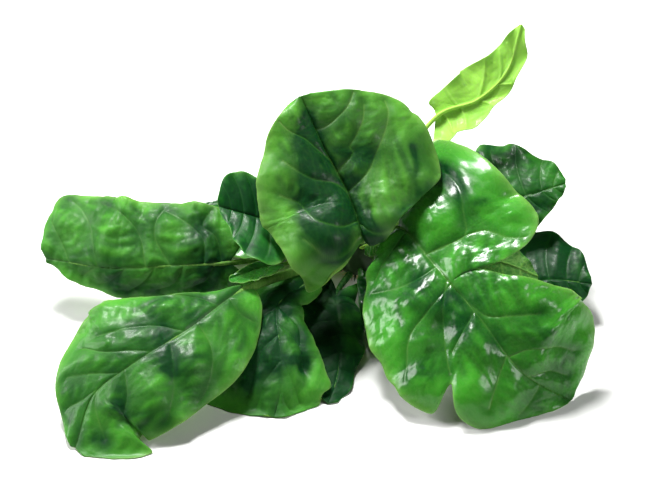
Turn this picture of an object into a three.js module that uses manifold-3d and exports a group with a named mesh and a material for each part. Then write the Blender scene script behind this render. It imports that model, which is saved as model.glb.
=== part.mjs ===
// A bunch of spinach: one young plant, cut at the root and laid down, its leaves spread round the crown.
// Millimetres, +Z up, resting on Z = 0. The bunch opens towards -Y, so its root stub points to the back.
// Each leaf is one solid, blade and stalk together, and the crown is the stub of root that they grow from.
// A blade is laid out flat first: its rows cross it from margin to margin, and its columns run along it.
// The flat blade is then bent along its midrib's path, folded, curled, puckered and waved.

import * as THREE from "three";
import Module from "manifold-3d";

const wasm = await Module();
wasm.setup();

// Crown: a tapering stub, turned round the plant's axis, which leans towards the front.
const CROWN_HEIGHT = 28; // of the point where the stalks meet, over the surface
const CROWN_LEAN = 40; // of the plant's axis from upright, degrees
const CROWN_RADIUS = 9; // at the outer whorl
const CUT_RADIUS = 4.5; // at the cut end of the root
const SEAT_GAP = 0.3; // between the crown and each stalk that is seated on it
// Whorls of stalks, from the outside in: how far up the axis they sit, and how far from it.
const WHORLS = {
  outer: { up: -7, out: 9 },
  middle: { up: 0, out: 7 },
  inner: { up: 4, out: 4 },
  heart: { up: 6.5, out: 1.5 },
};

// Blades
const BLADE_THICKNESS = 1;
const COLUMNS = [0, 0.25, 0.5, 0.75, 1]; // from the midrib to the margin
const DRAPE = 2; // height below which a blade starts to flatten on the surface
const VEIN_END = 0.94; // share of the way to the margin at which a side vein ends
const VEIN_BOW = 0.12; // of a side vein towards the neck, as a share of its length
const VEIN_ROWS = 1.3; // how many rows further towards the tip a side vein ends than it starts
const PUFF_WIDTH = 5; // distance from a vein at which the blade has swelled by two thirds

// Stalks and midribs
const STALK_SIDES = 7;
const STALK_STEP = 8;
const STALK_DEPTH = 0.8; // thickness over width
const RIB_END = 0.8; // share of the blade's length where the midrib runs out
const RIB_END_RADIUS = 0.6;
const RIB_SINK = 0.55; // how far the midrib hangs under its blade, in radii

const DEFAULTS = {
  facing: [0, 0, 1],
  twist: 0,
  fold: [
    [0, 0],
    [0, 0],
  ],
  curl: [-20, -20],
  puff: 1.2, // how far the blade swells between two veins
  wave: 1.2, // height of the waves at the margin
  waves: 4, // waves along one margin
  bumps: [],
  tint: "#2f7a22",
  stalk: 4.5, // width of the stalk at the crown
  steps: 2, // of the mesh from one row to the next
};

// An ordinary blade's rows, as shares of its length and of its breadth.
const ORDINARY = [
  [0, -0.05, 0.3],
  [0.1, -0.06, 0.62],
  [0.22, 0.1, 0.9],
  [0.36, 0.3, 1],
  [0.52, 0.52, 0.97],
  [0.68, 0.72, 0.8],
  [0.84, 0.9, 0.5],
  [1, 1, 0.06],
];

// neck is where the blade begins and facing is the way its upper side looks there.
// rows give the flat blade's outline. Each is a line across it: the share of the midrib at which it
// starts, and where it ends at the left margin and at the right one, along the midrib and out from it.
// Left and right are as seen from above with the tip ahead. breadth is the width of a half.
// fold lifts each half at the midrib, at the neck and at the tip, and curl lifts it on, per breadth.
// veins are each half's side veins, as places on the flat blade; without them, one is laid out per row.
// bumps are rounded swellings: place along the midrib, out from it (left is below 0), radius and height.
const LEAVES = [
  {
    name: "leaf_centre",
    whorl: "inner",
    bearing: 90,
    neck: [2, -24, 51],
    along: [
      [-4, -10, 64],
      [-14, 2, 79],
    ],
    tip: [-25, 17, 98],
    facing: [0, -80, 60],
    breadth: 40,
    fold: [
      [46, 28],
      [38, 22],
    ],
    curl: [-78, -62],
    rows: [
      [0, -3, 15, -2, 4],
      [0.06, -11, 24, 0, 10],
      [0.13, -16, 32, 3, 18],
      [0.165, -4, 32, 5, 23],
      [0.21, 3, 38, 8, 30],
      [0.32, 27, 43, 13, 40],
      [0.45, 42, 35, 20, 46],
      [0.6, 53, 26, 29, 46],
      [0.75, 61, 18, 48, 43],
      [0.9, 67, 8, 61, 25],
      [1, 69, 1, 68, 5],
    ],
    veins: [
      [
        [[2, 0], [0, 11], [1, 21], [5, 27]],
        [[8, 0], [6, 11], [11, 20], [28, 23], [35, 28]],
        [[21, 0], [28, 4], [33, 11], [39, 16], [46, 20]],
        [[38, 0], [45, 4], [51, 7], [57, 12], [62, 14]],
      ],
      [
        [[7, 0], [2, 6], [2, 16], [5, 25], [9, 35]],
        [[22, 0], [25, 12], [31, 20], [38, 28], [47, 33], [52, 34]],
        [[32, 0], [36, 11], [39, 11], [42, 15], [48, 21], [54, 24]],
        [[53, 0], [52, 4], [53, 10], [56, 17], [61, 22]],
      ],
    ],
    stalk: 4,
    bumps: [
      [17, 14, 8, 2],
      [3, 15, 8, 2.5],
      [11, 24, 6, -2.5],
      [20, 31, 7, 1.5],
      [51, 14, 10, 1.5],
      [9, -18, 10, 3],
      [42, -21, 8, 2],
      [-2, -24, 6, -2],
    ],
  },
  {
    name: "leaf_front_right",
    whorl: "middle",
    bearing: -20,
    neck: [18, -17, 52],
    along: [
      [32, -37, 47],
      [49, -60, 38],
      [68, -77, 20],
    ],
    tip: [91, -73, 0],
    facing: [0, -40, 90],
    breadth: 45,
    fold: [
      [20, 0],
      [-10, 0],
    ],
    curl: [-12, -23],
    rows: [
      [0, -22, 42, -2, 11],
      [0.04, -12, 47, -1, 21],
      [0.08, 3, 47, 14, 29],
      [0.12, 18, 48, 20, 35],
      [0.17, 37, 48, 26, 39],
      [0.22, 45, 36, 37, 44],
      [0.27, 44, 20, 45, 45],
      [0.31, 39, 9, 53, 47],
      [0.33, 38, 4, 61, 46],
      [0.36, 39, 10, 68, 46],
      [0.42, 54, 23, 75, 43],
      [0.47, 59, 29, 78, 40],
      [0.5, 64, 34, 74, 26],
      [0.53, 67, 37, 83, 32],
      [0.6, 73, 40, 89, 30],
      [0.7, 112, 37, 95, 24],
      [0.8, 117, 24, 103, 17],
      [0.9, 119, 12, 111, 7],
      [1, 118, 3, 116, 2],
    ],
    veins: [
      [
        [[20, 0], [22, 8], [25, 18], [15, 24], [8, 29], [0, 32]],
        [[20, 0], [23, 9], [25, 18], [29, 26], [37, 31], [42, 37]],
        [[46, 0], [54, 1], [60, 3], [66, 12], [72, 22]],
        [[79, 0], [82, 8], [95, 17], [109, 20]],
        [[91, 0], [99, 7], [110, 9]],
      ],
      [
        [[5, 0], [7, 7], [10, 16], [15, 24]],
        [[28, 0], [28, 9], [24, 20], [19, 29]],
        [[36, 0], [45, 9], [54, 16], [62, 20], [71, 24]],
        [[39, 0], [43, 16], [46, 27], [53, 35], [62, 41]],
        [[55, 0], [60, 10], [64, 18]],
        [[78, 0], [83, 10], [87, 21]],
        [[98, 0], [98, 8], [97, 15]],
      ],
    ],
    stalk: 5.5,
    bumps: [
      [35, 15, 12, 3],
      [51, 14, 6, -2.5],
      [61, 19, 6, -2],
      [66, 9, 8, 2.5],
      [44, 32, 10, 2],
      [69, 35, 8, 1.5],
      [82, 21, 9, 2],
      [10, -15, 9, 2.5],
      [13, -31, 8, 1.5],
      [62, -18, 10, 2],
      [86, -17, 10, 2],
    ],
  },
  {
    name: "leaf_front_left",
    whorl: "outer",
    bearing: 187,
    neck: [-50, -37, 33],
    along: [
      [-72, -62, 31],
      [-96, -80, 25],
      [-111, -87, 15],
    ],
    tip: [-118, -104, 1],
    facing: [0, -35, 90],
    breadth: 40,
    fold: [
      [-10, -10],
      [5, 5],
    ],
    curl: [-25, -20],
    rows: [
      [0, -5, 3, 0, 2],
      [0.08, -1, 12, 8, 6],
      [0.18, 11, 22, 18, 12],
      [0.28, 25, 27, 32, 20],
      [0.38, 34, 30, 49, 33],
      [0.48, 45, 31, 60, 33],
      [0.58, 59, 32, 74, 30],
      [0.68, 89, 28, 80, 26],
      [0.76, 98, 25, 85, 19],
      [0.84, 102, 31.5, 92, 13],
      [0.92, 109.5, 19, 101, 7],
      [1, 111, 6, 107, 2],
    ],
    stalk: 5.4,
    veins: [
      [
        [[9, 0], [10, 9], [7, 15]],
        [[29, 0], [31, 10], [36, 19], [43, 26], [49, 29]],
        [[44, 0], [48, 8], [55, 19], [65, 28]],
        [[67, 0], [73, 12], [90, 18]],
        [[81, 0], [91, 5], [101, 11]],
      ],
      [
        [[16, 0], [18, 7], [25, 15], [32, 21]],
        [[36, 0], [43, 8], [51, 13], [60, 17], [70, 20]],
        [[53, 0], [61, 6], [72, 13], [77, 20]],
        [[69, 0], [74, 3], [81, 10], [84, 15]],
        [[81, 0], [87, 3], [92, 9]],
      ],
    ],
    bumps: [
      [62, 14, 9, 1.5],
      [62, 14, 3, -1.5],
      [34, 12, 8, 1.5],
      [42, -16, 9, 2.5],
      [65, -17, 9, 2.5],
      [24, -19, 9, 1.5],
      [77, 14, 7, 1],
      [86, -9, 8, 2],
    ],
  },
  {
    name: "leaf_left",
    whorl: "outer",
    bearing: 161,
    neck: [-57, -14, 31],
    along: [
      [-83, -15, 30],
      [-110, -14, 28],
    ],
    tip: [-140, -1, 24],
    facing: [0, -70, 70],
    breadth: 30,
    fold: [
      [-30, -30],
      [0, 0],
    ],
    curl: [-20, -18],
    rows: [
      [0, -12, 10, -12, 14],
      [0.1, 2, 14, -3, 24],
      [0.22, 17, 16, 15, 29],
      [0.35, 31, 16, 32, 31],
      [0.5, 44, 15, 55, 34],
      [0.65, 56, 13, 76, 33],
      [0.8, 68, 10, 88, 29],
      [0.92, 79, 5, 91, 20],
      [1, 86, 2, 89, 4],
    ],
    puff: 2,
    stalk: 4,
    veins: [
      [
        [[6, 0], [11, 8], [16, 10]],
        [[20, 0], [25, 8], [32, 11]],
        [[33, 0], [39, 7], [46, 11]],
        [[46, 0], [53, 6], [59, 8]],
        [[60, 0], [67, 5]],
      ],
      [
        [[3, 0], [5, 12], [11, 18], [6, 25]],
        [[11, 0], [11, 11], [17, 18], [27, 25]],
        [[26, 0], [32, 12], [32, 19], [28, 27]],
        [[37, 0], [40, 16], [50, 25], [68, 30]],
        [[59, 0], [67, 16], [75, 24], [83, 29]],
        [[74, 0], [81, 9], [88, 17]],
      ],
    ],
    bumps: [
      [53, 15, 9, 2],
      [25, 17, 7, 1.5],
      [82, 17, 8, 1.5],
      [5, 16, 6, 1],
      [27, -9, 6, 1],
    ],
  },
  {
    name: "leaf_small_left",
    whorl: "middle",
    bearing: 155,
    neck: [-34, -9, 48],
    along: [[-47, -8, 52]],
    tip: [-61, -5, 55],
    facing: [0, -60, 80],
    breadth: 20,
    fold: [
      [20, 20],
      [20, 20],
    ],
    curl: [10, -20],
    rows: [
      [0, -3, 18, 1, 12],
      [0.2, 3, 25, 11, 15],
      [0.4, 9, 24, 20, 18],
      [0.6, 16, 18, 26, 17],
      [0.8, 20, 11, 30, 13],
      [1, 27, 3, 30, 3],
    ],
    stalk: 3,
    puff: 0.6,
    wave: 0.5,
    steps: 1,
  },
  {
    name: "leaf_narrow",
    whorl: "middle",
    bearing: 190,
    neck: [-33, -23, 37],
    along: [[-45, -25, 35]],
    tip: [-56, -29, 33],
    facing: [0, -20, 100],
    breadth: 10,
    fold: [
      [20, 20],
      [30, 30],
    ],
    curl: [10, 10],
    rows: [
      [0, 1, 5, 1, 2],
      [0.25, 7, 11, 7, 3],
      [0.5, 16, 12, 14, 3],
      [0.75, 22, 8, 19, 2],
      [1, 25, 2, 24, 1],
    ],
    stalk: 2.4,
    puff: 0.3,
    wave: 0.3,
    steps: 1,
  },
  {
    name: "leaf_low_front",
    whorl: "outer",
    bearing: 215,
    neck: [-23, -19, 23],
    along: [
      [-35, -38, 25],
      [-34, -57, 20],
      [-33, -72, 9],
    ],
    tip: [-36, -84, -1],
    facing: [-4, -30, 90],
    breadth: 25,
    fold: [
      [-8, 0],
      [-16, -14],
    ],
    curl: [-14, -30],
    rows: [
      [0, -6, 2, -9, 12],
      [0.07, -3, 7, -1, 17],
      [0.14, 5, 8, 8, 20],
      [0.22, 14, 8, 16, 20],
      [0.3, 20, 11, 23, 18],
      [0.4, 30, 13, 29, 21],
      [0.5, 39, 15, 36, 28],
      [0.6, 48, 18, 52, 35],
      [0.7, 56, 20, 72, 36],
      [0.78, 60, 22, 79, 34],
      [0.86, 63, 18, 81, 25],
      [0.93, 68, 18, 79, 13],
      [1, 73, 9, 76, 3],
    ],
    stalk: 4.2,
    veins: [
      [
        [[23, 0], [28, 5], [36, 9], [44, 9]],
        [[34, 0], [40, 6], [47, 9], [56, 10]],
        [[44, 0], [52, 1], [60, 4], [68, 9]],
        [[56, 0], [65, 1], [69, 3], [72, 6]],
      ],
      [
        [[25, 0], [29, 6], [34, 12], [39, 17]],
        [[39, 0], [46, 8], [55, 11], [69, 13]],
        [[51, 0], [60, 7], [69, 8], [74, 9]],
      ],
    ],
    puff: 2,
    bumps: [
      [56, -4, 5, 2],
      [57, -16, 5, 2],
      [33, -10, 6, 1.5],
      [54, -10, 4, -2],
      [64, -3, 5, 1],
      [59, 14, 8, 2],
    ],
  },
  {
    name: "leaf_dark_front",
    whorl: "outer",
    bearing: 250,
    neck: [-9, -13, 14],
    along: [
      [-8, -38, 10],
      [-9, -60, 4],
    ],
    tip: [-13, -75, 0],
    facing: [10, -30, 90],
    breadth: 20,
    fold: [
      [-12, -8],
      [-5, -5],
    ],
    curl: [-14, -8],
    rows: [
      [0, -9, 8, -21, 14],
      [0.06, -2, 9, -15, 20],
      [0.14, 3, 10, 1, 20],
      [0.28, 14, 12, 17, 19],
      [0.42, 24, 12, 31, 18],
      [0.56, 33, 11, 43, 14],
      [0.7, 43, 8, 52, 11],
      [0.82, 51, 7, 57, 8],
      [0.92, 57, 6, 61, 5],
      [1, 62, 4, 63, 3],
    ],
    stalk: 4,
    bumps: [
      [7, -3, 5, 2],
      [29, -2, 6, 1.5],
      [21, -7, 5, 1],
    ],
  },
  {
    name: "leaf_under_right",
    whorl: "outer",
    bearing: 297,
    neck: [10, -14, 18],
    along: [[14, -31, 9]],
    tip: [18, -44, 1],
    facing: [0, -20, 100],
    breadth: 20,
    rows: [
      [0, -3, 5, -14, 5],
      [0.2, 4, 10, -7, 8],
      [0.4, 16, 13, 5, 11],
      [0.6, 26, 12, 16, 11],
      [0.8, 35, 7, 28, 10],
      [1, 39, 1, 38, 2],
    ],
    stalk: 3,
    steps: 1,
  },
  {
    name: "leaf_upright",
    whorl: "middle",
    bearing: 65,
    neck: [36, 41, 73],
    along: [
      [55, 46, 79],
      [68, 51, 91],
    ],
    tip: [74, 58, 111],
    facing: [0, 82, -57],
    breadth: 16,
    fold: [
      [0, 0],
      [-5, 5],
    ],
    curl: [-70, 0],
    rows: [
      [0, -9, 9, 2, 3],
      [0.08, -2, 16, 1, 7],
      [0.18, 12, 14, 6, 9],
      [0.32, 21, 9, 15, 14],
      [0.45, 29, 7, 26, 15],
      [0.58, 37, 6, 42, 11],
      [0.72, 45, 6, 51, 7],
      [0.86, 52, 5, 57, 4],
      [1, 60, 2, 61, 1],
    ],
    stalk: 3.6,
    puff: 0.8,
    veins: [
      [
        [[3, 0], [4, 6], [1, 13]],
        [[12, 0], [13, 6], [12, 12]],
        [[21, 0], [24, 5], [25, 9]],
        [[32, 0], [36, 5]],
      ],
      [
        [[11, 0], [9, 5], [8, 10]],
        [[21, 0], [28, 5], [34, 9], [40, 12]],
        [[34, 0], [41, 4], [48, 7]],
        [[46, 0], [52, 4]],
      ],
    ],
  },
  {
    name: "leaf_right",
    whorl: "middle",
    bearing: 25,
    neck: [60, 17, 39],
    along: [[78, 19, 45]],
    tip: [94, 21, 50],
    facing: [0, -50, 87],
    breadth: 20,
    fold: [
      [10, 0],
      [-10, 0],
    ],
    rows: [
      [0, -2, 10, 0, 7],
      [0.15, 0, 24, 6, 14],
      [0.3, 6, 34, 15, 16],
      [0.5, 17, 31, 23, 12],
      [0.7, 28, 19, 29, 8],
      [0.85, 35, 10, 33, 5],
      [1, 37, 2, 36, 2],
    ],
    stalk: 3.6,
  },
  {
    name: "leaf_low_right",
    whorl: "outer",
    bearing: 5,
    neck: [68, -9, 15],
    along: [[87, -9, 18]],
    tip: [105, -12, 18],
    facing: [0, -50, 87],
    breadth: 20,
    fold: [
      [5, 0],
      [-10, -10],
    ],
    rows: [
      [0, -2, 8, 2, 5],
      [0.15, -2, 21, 8, 10],
      [0.3, 12, 30, 18, 14],
      [0.5, 18, 28, 28, 13],
      [0.7, 25, 21, 33, 10],
      [0.85, 32, 14, 36, 6],
      [1, 37, 3, 37, 2],
    ],
    stalk: 3.6,
  },
  {
    name: "leaf_tucked",
    whorl: "outer",
    bearing: -30,
    neck: [47, -10, 28],
    along: [[63, -11, 29]],
    tip: [80, -16, 25],
    facing: [0, 50, -87],
    breadth: 15,
    rows: [
      [0, 2, 5, 1, 4],
      [0.25, 10, 11, 8, 9],
      [0.5, 20, 12, 16, 10],
      [0.75, 30, 9, 25, 7],
      [1, 35, 2, 33, 2],
    ],
    stalk: 3,
    puff: 0.6,
    steps: 1,
  },
  {
    name: "leaf_back_left",
    whorl: "outer",
    bearing: 132,
    neck: [-30, 20, 26],
    along: [
      [-52, 38, 26],
      [-72, 54, 16],
    ],
    tip: [-86, 64, 1],
    facing: [0, 10, 100],
    breadth: 30,
    fold: [
      [-10, -10],
      [0, -10],
    ],
    rows: ORDINARY,
    stalk: 4,
  },
  {
    name: "leaf_back",
    whorl: "middle",
    bearing: 105,
    neck: [-8, 34, 38],
    along: [
      [-14, 58, 38],
      [-18, 78, 24],
    ],
    tip: [-20, 90, 4],
    breadth: 33,
    fold: [
      [-10, -15],
      [-10, -15],
    ],
    rows: ORDINARY,
    stalk: 4.5,
  },
  {
    name: "leaf_back_right",
    whorl: "outer",
    bearing: 56,
    neck: [26, 34, 26],
    along: [
      [42, 56, 23],
      [52, 72, 13],
    ],
    tip: [58, 84, 0],
    breadth: 28,
    fold: [
      [-10, -15],
      [-10, -15],
    ],
    rows: ORDINARY,
    stalk: 4,
  },
  {
    name: "leaf_back_upper",
    whorl: "inner",
    bearing: 140,
    neck: [-12, 12, 52],
    along: [
      [-16, 28, 64],
      [-20, 42, 68],
    ],
    tip: [-24, 56, 62],
    facing: [0, -30, 100],
    breadth: 24,
    fold: [
      [10, 0],
      [10, 0],
    ],
    curl: [-40, -40],
    rows: ORDINARY,
    stalk: 3.6,
  },
  {
    name: "leaf_far_right",
    whorl: "outer",
    bearing: 28,
    neck: [44, 25, 32],
    along: [[66, 37, 33]],
    tip: [90, 47, 22],
    breadth: 21,
    fold: [
      [0, -10],
      [0, -10],
    ],
    rows: ORDINARY,
    stalk: 3.6,
  },
  {
    name: "heart_leaf_left",
    whorl: "heart",
    bearing: 200,
    neck: [-3, -8, 37],
    along: [[-5, -11, 41]],
    tip: [-6, -14, 46],
    facing: [20, -60, 80],
    breadth: 5,
    rows: ORDINARY,
    tint: "#7fa33c",
    stalk: 1.8,
    puff: 0.2,
    wave: 0.5,
    steps: 1,
  },
  {
    name: "heart_leaf_right",
    whorl: "heart",
    bearing: 330,
    neck: [4, -9, 37],
    along: [[7, -12, 39]],
    tip: [10, -15, 42],
    facing: [-20, -60, 80],
    breadth: 5,
    rows: ORDINARY,
    tint: "#7fa33c",
    stalk: 1.8,
    puff: 0.2,
    wave: 0.5,
    steps: 1,
  },
];

const rad = THREE.MathUtils.degToRad;
const lerp = THREE.MathUtils.lerp;
const clamp = THREE.MathUtils.clamp;

// The crown's own directions: along its axis to the leaves, and across it.
const AXIS = new THREE.Vector3(0, -Math.sin(rad(CROWN_LEAN)), Math.cos(rad(CROWN_LEAN)));
const ACROSS = new THREE.Vector3(1, 0, 0);
const UPWARD = new THREE.Vector3().crossVectors(AXIS, ACROSS);
const CROWN = new THREE.Vector3(0, 0, CROWN_HEIGHT);
// The lower rim of the root's cut end touches the surface.
const STUB_LENGTH =
  (CROWN_HEIGHT - CUT_RADIUS * Math.sin(rad(CROWN_LEAN))) / Math.cos(rad(CROWN_LEAN));

function onAxis(up, out, bearing) {
  return CROWN.clone()
    .addScaledVector(AXIS, up)
    .addScaledVector(ACROSS, out * Math.cos(rad(bearing)))
    .addScaledVector(UPWARD, out * Math.sin(rad(bearing)));
}

// A height, kept from going under the surface: it flattens out at lowest.
function drape(z, lowest) {
  const over = z - lowest;
  if (over > DRAPE) return z;
  if (over < -DRAPE) return lowest;
  return lowest + (over + DRAPE) ** 2 / (4 * DRAPE);
}

// The midrib's path as points at equal steps, each with its distance from the neck and its frame.
function midribPath(leaf) {
  const { up, out } = WHORLS[leaf.whorl];
  const points = [onAxis(up, out, leaf.bearing)];
  for (const p of [leaf.neck, ...leaf.along, leaf.tip]) points.push(new THREE.Vector3(...p));
  const curve = new THREE.CatmullRomCurve3(points);
  const count = 40 * (points.length - 1);
  const places = Array.from({ length: count + 1 }, (_, i) => curve.getPoint(i / count));
  const distances = [0];
  for (let i = 1; i <= count; i++)
    distances.push(distances[i - 1] + places[i].distanceTo(places[i - 1]));
  const neckIndex = count / (points.length - 1);
  const neckDistance = distances[neckIndex];
  const tangents = places.map((_, i) =>
    places[Math.min(i + 1, count)]
      .clone()
      .sub(places[Math.max(i - 1, 0)])
      .normalize(),
  );
  // The blade's upper side looks the given way at the neck, and is carried on from there without turning.
  const normals = new Array(count + 1);
  const square = (v, tangent) => v.addScaledVector(tangent, -v.dot(tangent)).normalize();
  normals[neckIndex] = square(new THREE.Vector3(...leaf.facing), tangents[neckIndex]);
  for (let i = neckIndex + 1; i <= count; i++)
    normals[i] = square(normals[i - 1].clone(), tangents[i]);
  for (let i = neckIndex - 1; i >= 0; i--)
    normals[i] = square(normals[i + 1].clone(), tangents[i]);
  const length = distances[count] - neckDistance;
  const samples = places.map((place, i) => ({
    along: distances[i] - neckDistance,
    place,
    tangent: tangents[i],
    normal: normals[i]
      .clone()
      .applyAxisAngle(tangents[i], rad(leaf.twist * clamp((distances[i] - neckDistance) / length, 0, 1))),
  }));
  return { samples, length, start: -neckDistance, neckIndex };
}

// The frame at a distance from the neck. It runs straight on past the tip, and behind the neck for a blade.
function frameAt(path, along, first) {
  const { samples } = path;
  let i = samples.findIndex((s) => s.along >= along);
  if (i < 0) i = samples.length - 1;
  i = Math.max(i, first + 1);
  const [a, b] = [samples[i - 1], samples[i]];
  const share = (along - a.along) / (b.along - a.along);
  const mix = clamp(share, 0, 1);
  const place = a.place.clone().lerp(b.place, share);
  const tangent = a.tangent.clone().lerp(b.tangent, mix).normalize();
  const normal = a.normal.clone().lerp(b.normal, mix);
  normal.addScaledVector(tangent, -normal.dot(tangent)).normalize();
  return { place, tangent, normal, right: new THREE.Vector3().crossVectors(tangent, normal) };
}

// The flat blade: its rows' starts and its two margins, all read at a row number that may be a fraction.
function flatBlade(leaf, path) {
  const rows =
    leaf.rows === ORDINARY
      ? ORDINARY.map(([share, along, out]) => {
          const end = [along * path.length, out * leaf.breadth];
          return [share, ...end, ...end];
        })
      : leaf.rows;
  const last = rows.length - 1;
  const margins = [1, 3].map(
    (k) => new THREE.CatmullRomCurve3(rows.map((row) => new THREE.Vector3(row[k], row[k + 1], 0))),
  );
  const share = (row) => {
    const i = clamp(Math.floor(row), 0, last - 1);
    return lerp(rows[i][0], rows[i + 1][0], row - i);
  };
  const start = (row) => new THREE.Vector3(share(row) * path.length, 0, 0);
  const margin = (half, row) => margins[half].getPoint(row / last);
  const given = leaf.veins?.map((half) =>
    half.map((line) => line.map(([along, out]) => new THREE.Vector3(along, out, 0))),
  );
  const laidOut = (half) =>
    rows.slice(1, -1).map((row, i) => {
      const a = new THREE.Vector3(row[0] * path.length, 0, 0);
      const c = a.clone().lerp(margin(half, i + VEIN_ROWS), VEIN_END);
      const chord = c.clone().sub(a);
      const b = a.clone().addScaledVector(chord, 0.5);
      b.add(new THREE.Vector3(-chord.y, chord.x, 0).multiplyScalar(VEIN_BOW));
      return new THREE.QuadraticBezierCurve3(a, b, c).getPoints(6);
    });
  return { last, start, margin, veins: given ?? [laidOut(0), laidOut(1)] };
}

function distanceToSegment(p, a, b) {
  const chord = b.clone().sub(a);
  const share = clamp(p.clone().sub(a).dot(chord) / chord.lengthSq(), 0, 1);
  return p.distanceTo(a.clone().addScaledVector(chord, share));
}

// How far the blade swells at a flat place: nothing at a vein, more between two of them, and its bumps.
function swelling(leaf, flat, half, place, out) {
  let near = place.y;
  let bumps = 0;
  for (const [along, across, radius, height] of leaf.bumps) {
    const gap = Math.hypot(place.x - along, (half ? place.y : -place.y) - across);
    bumps += height * Math.exp(-((gap / radius) ** 2));
  }
  for (const vein of flat.veins[half])
    for (let i = 0; i + 1 < vein.length; i++)
      near = Math.min(near, distanceToSegment(place, vein[i], vein[i + 1]));
  return leaf.puff * (1 - Math.exp(-near / PUFF_WIDTH)) * (1 - out ** 6) + bumps;
}

// A point of the blade's middle layer, on a row and at a share from -1 at the left margin to 1.
function bladePoint(leaf, path, flat, row, t) {
  const half = t < 0 ? 0 : 1;
  const sideways = t < 0 ? -1 : 1;
  const out = Math.abs(t);
  const place = flat.start(row).lerp(flat.margin(half, row), out);
  const frame = frameAt(path, place.x, path.neckIndex);
  const fold = rad(lerp(...leaf.fold[half], clamp(place.x / path.length, 0, 1)));
  const curl = rad(leaf.curl[half] || 0.01) / leaf.breadth;
  const slope = fold + curl * place.y;
  const flatways = (Math.sin(slope) - Math.sin(fold)) / curl;
  const lift = (Math.cos(fold) - Math.cos(slope)) / curl;
  const turns = leaf.waves * (row / flat.last) + 0.3 * half;
  const wave = leaf.wave * out ** 3 * Math.sin(2 * Math.PI * turns);
  const relief = swelling(leaf, flat, half, place, out) + wave;
  const point = frame.place
    .addScaledVector(frame.right, sideways * (flatways - relief * Math.sin(slope)))
    .addScaledVector(frame.normal, lift + relief * Math.cos(slope));
  point.z = drape(point.z, BLADE_THICKNESS / 2);
  return point;
}

function solidFrom(vertices, triangles) {
  return new wasm.Manifold(
    new wasm.Mesh({
      numProp: 3,
      vertProperties: Float32Array.from(vertices.flatMap((v) => v.toArray())),
      triVerts: Uint32Array.from(triangles.flat()),
    }),
  );
}

// The blade: its middle layer's grid, raised to an upper and a lower face, split alike, and a rim.
function bladeSolid(leaf, path) {
  const flat = flatBlade(leaf, path);
  const rows = Array.from({ length: leaf.steps * flat.last + 1 }, (_, i) => i / leaf.steps);
  const columns = [...COLUMNS.slice(1).reverse().map((t) => -t), ...COLUMNS];
  const wide = columns.length;
  const middle = rows.flatMap((row) => columns.map((t) => bladePoint(leaf, path, flat, row, t)));
  const normals = middle.map(() => new THREE.Vector3());
  const quads = [];
  for (let i = 0; i + 1 < rows.length; i++)
    for (let j = 0; j + 1 < wide; j++)
      quads.push([i * wide + j, i * wide + j + 1, (i + 1) * wide + j + 1, (i + 1) * wide + j]);
  const upper = quads.flatMap(([a, b, c, d]) => [
    [a, b, c],
    [a, c, d],
  ]);
  for (const [a, b, c] of upper) {
    const facing = new THREE.Vector3()
      .subVectors(middle[b], middle[a])
      .cross(new THREE.Vector3().subVectors(middle[c], middle[a]));
    for (const corner of [a, b, c]) normals[corner].add(facing);
  }
  middle.forEach((point, i) => {
    if (point.z <= BLADE_THICKNESS / 2) normals[i].set(0, 0, Math.sign(normals[i].z) || 1);
    normals[i].normalize();
  });
  const shifted = (by) => middle.map((point, i) => point.clone().addScaledVector(normals[i], by));
  const vertices = [...shifted(BLADE_THICKNESS / 2), ...shifted(-BLADE_THICKNESS / 2)];
  const below = middle.length;
  const triangles = [...upper, ...upper.map(([a, b, c]) => [c + below, b + below, a + below])];
  const edge = [];
  for (let j = 0; j < wide - 1; j++) edge.push(j);
  for (let i = 0; i < rows.length - 1; i++) edge.push(i * wide + wide - 1);
  for (let j = wide - 1; j > 0; j--) edge.push((rows.length - 1) * wide + j);
  for (let i = rows.length - 1; i > 0; i--) edge.push(i * wide);
  edge.forEach((p, i) => {
    const q = edge[(i + 1) % edge.length];
    triangles.push([p + below, q + below, q], [p + below, q, p]);
  });
  return solidFrom(vertices, triangles);
}

// The stalk, which runs on under the blade as its midrib.
function stalkSolid(leaf, path) {
  const end = path.length * RIB_END;
  const steps = Math.ceil((end - path.start) / STALK_STEP);
  const rings = [];
  for (let i = 0; i <= steps; i++) {
    const along = lerp(path.start, end, i / steps);
    const frame = frameAt(path, along, 0);
    const blade = clamp(along / end, 0, 1);
    const radius =
      along < 0
        ? lerp(leaf.stalk / 2, leaf.stalk * 0.38, 1 - along / path.start)
        : lerp(leaf.stalk * 0.38, RIB_END_RADIUS, blade ** 0.7);
    const centre = frame.place.addScaledVector(frame.normal, -radius * RIB_SINK);
    centre.z = drape(centre.z, radius);
    const ring = [];
    for (let k = 0; k < STALK_SIDES; k++) {
      const turn = (2 * Math.PI * (k + 0.5)) / STALK_SIDES;
      ring.push(
        centre
          .clone()
          .addScaledVector(frame.right, radius * Math.cos(turn))
          .addScaledVector(frame.normal, radius * STALK_DEPTH * Math.sin(turn)),
      );
    }
    rings.push(ring);
  }
  const vertices = rings.flat();
  const triangles = [];
  for (let i = 0; i < steps; i++)
    for (let k = 0; k < STALK_SIDES; k++) {
      const next = (k + 1) % STALK_SIDES;
      const [a, b] = [i * STALK_SIDES + k, i * STALK_SIDES + next];
      const [c, d] = [b + STALK_SIDES, a + STALK_SIDES];
      triangles.push([a, c, b], [a, d, c]);
    }
  const last = steps * STALK_SIDES;
  for (let k = 1; k + 1 < STALK_SIDES; k++) {
    triangles.push([0, k, k + 1]);
    triangles.push([last, last + k + 1, last + k]);
  }
  return solidFrom(vertices, triangles);
}

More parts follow.
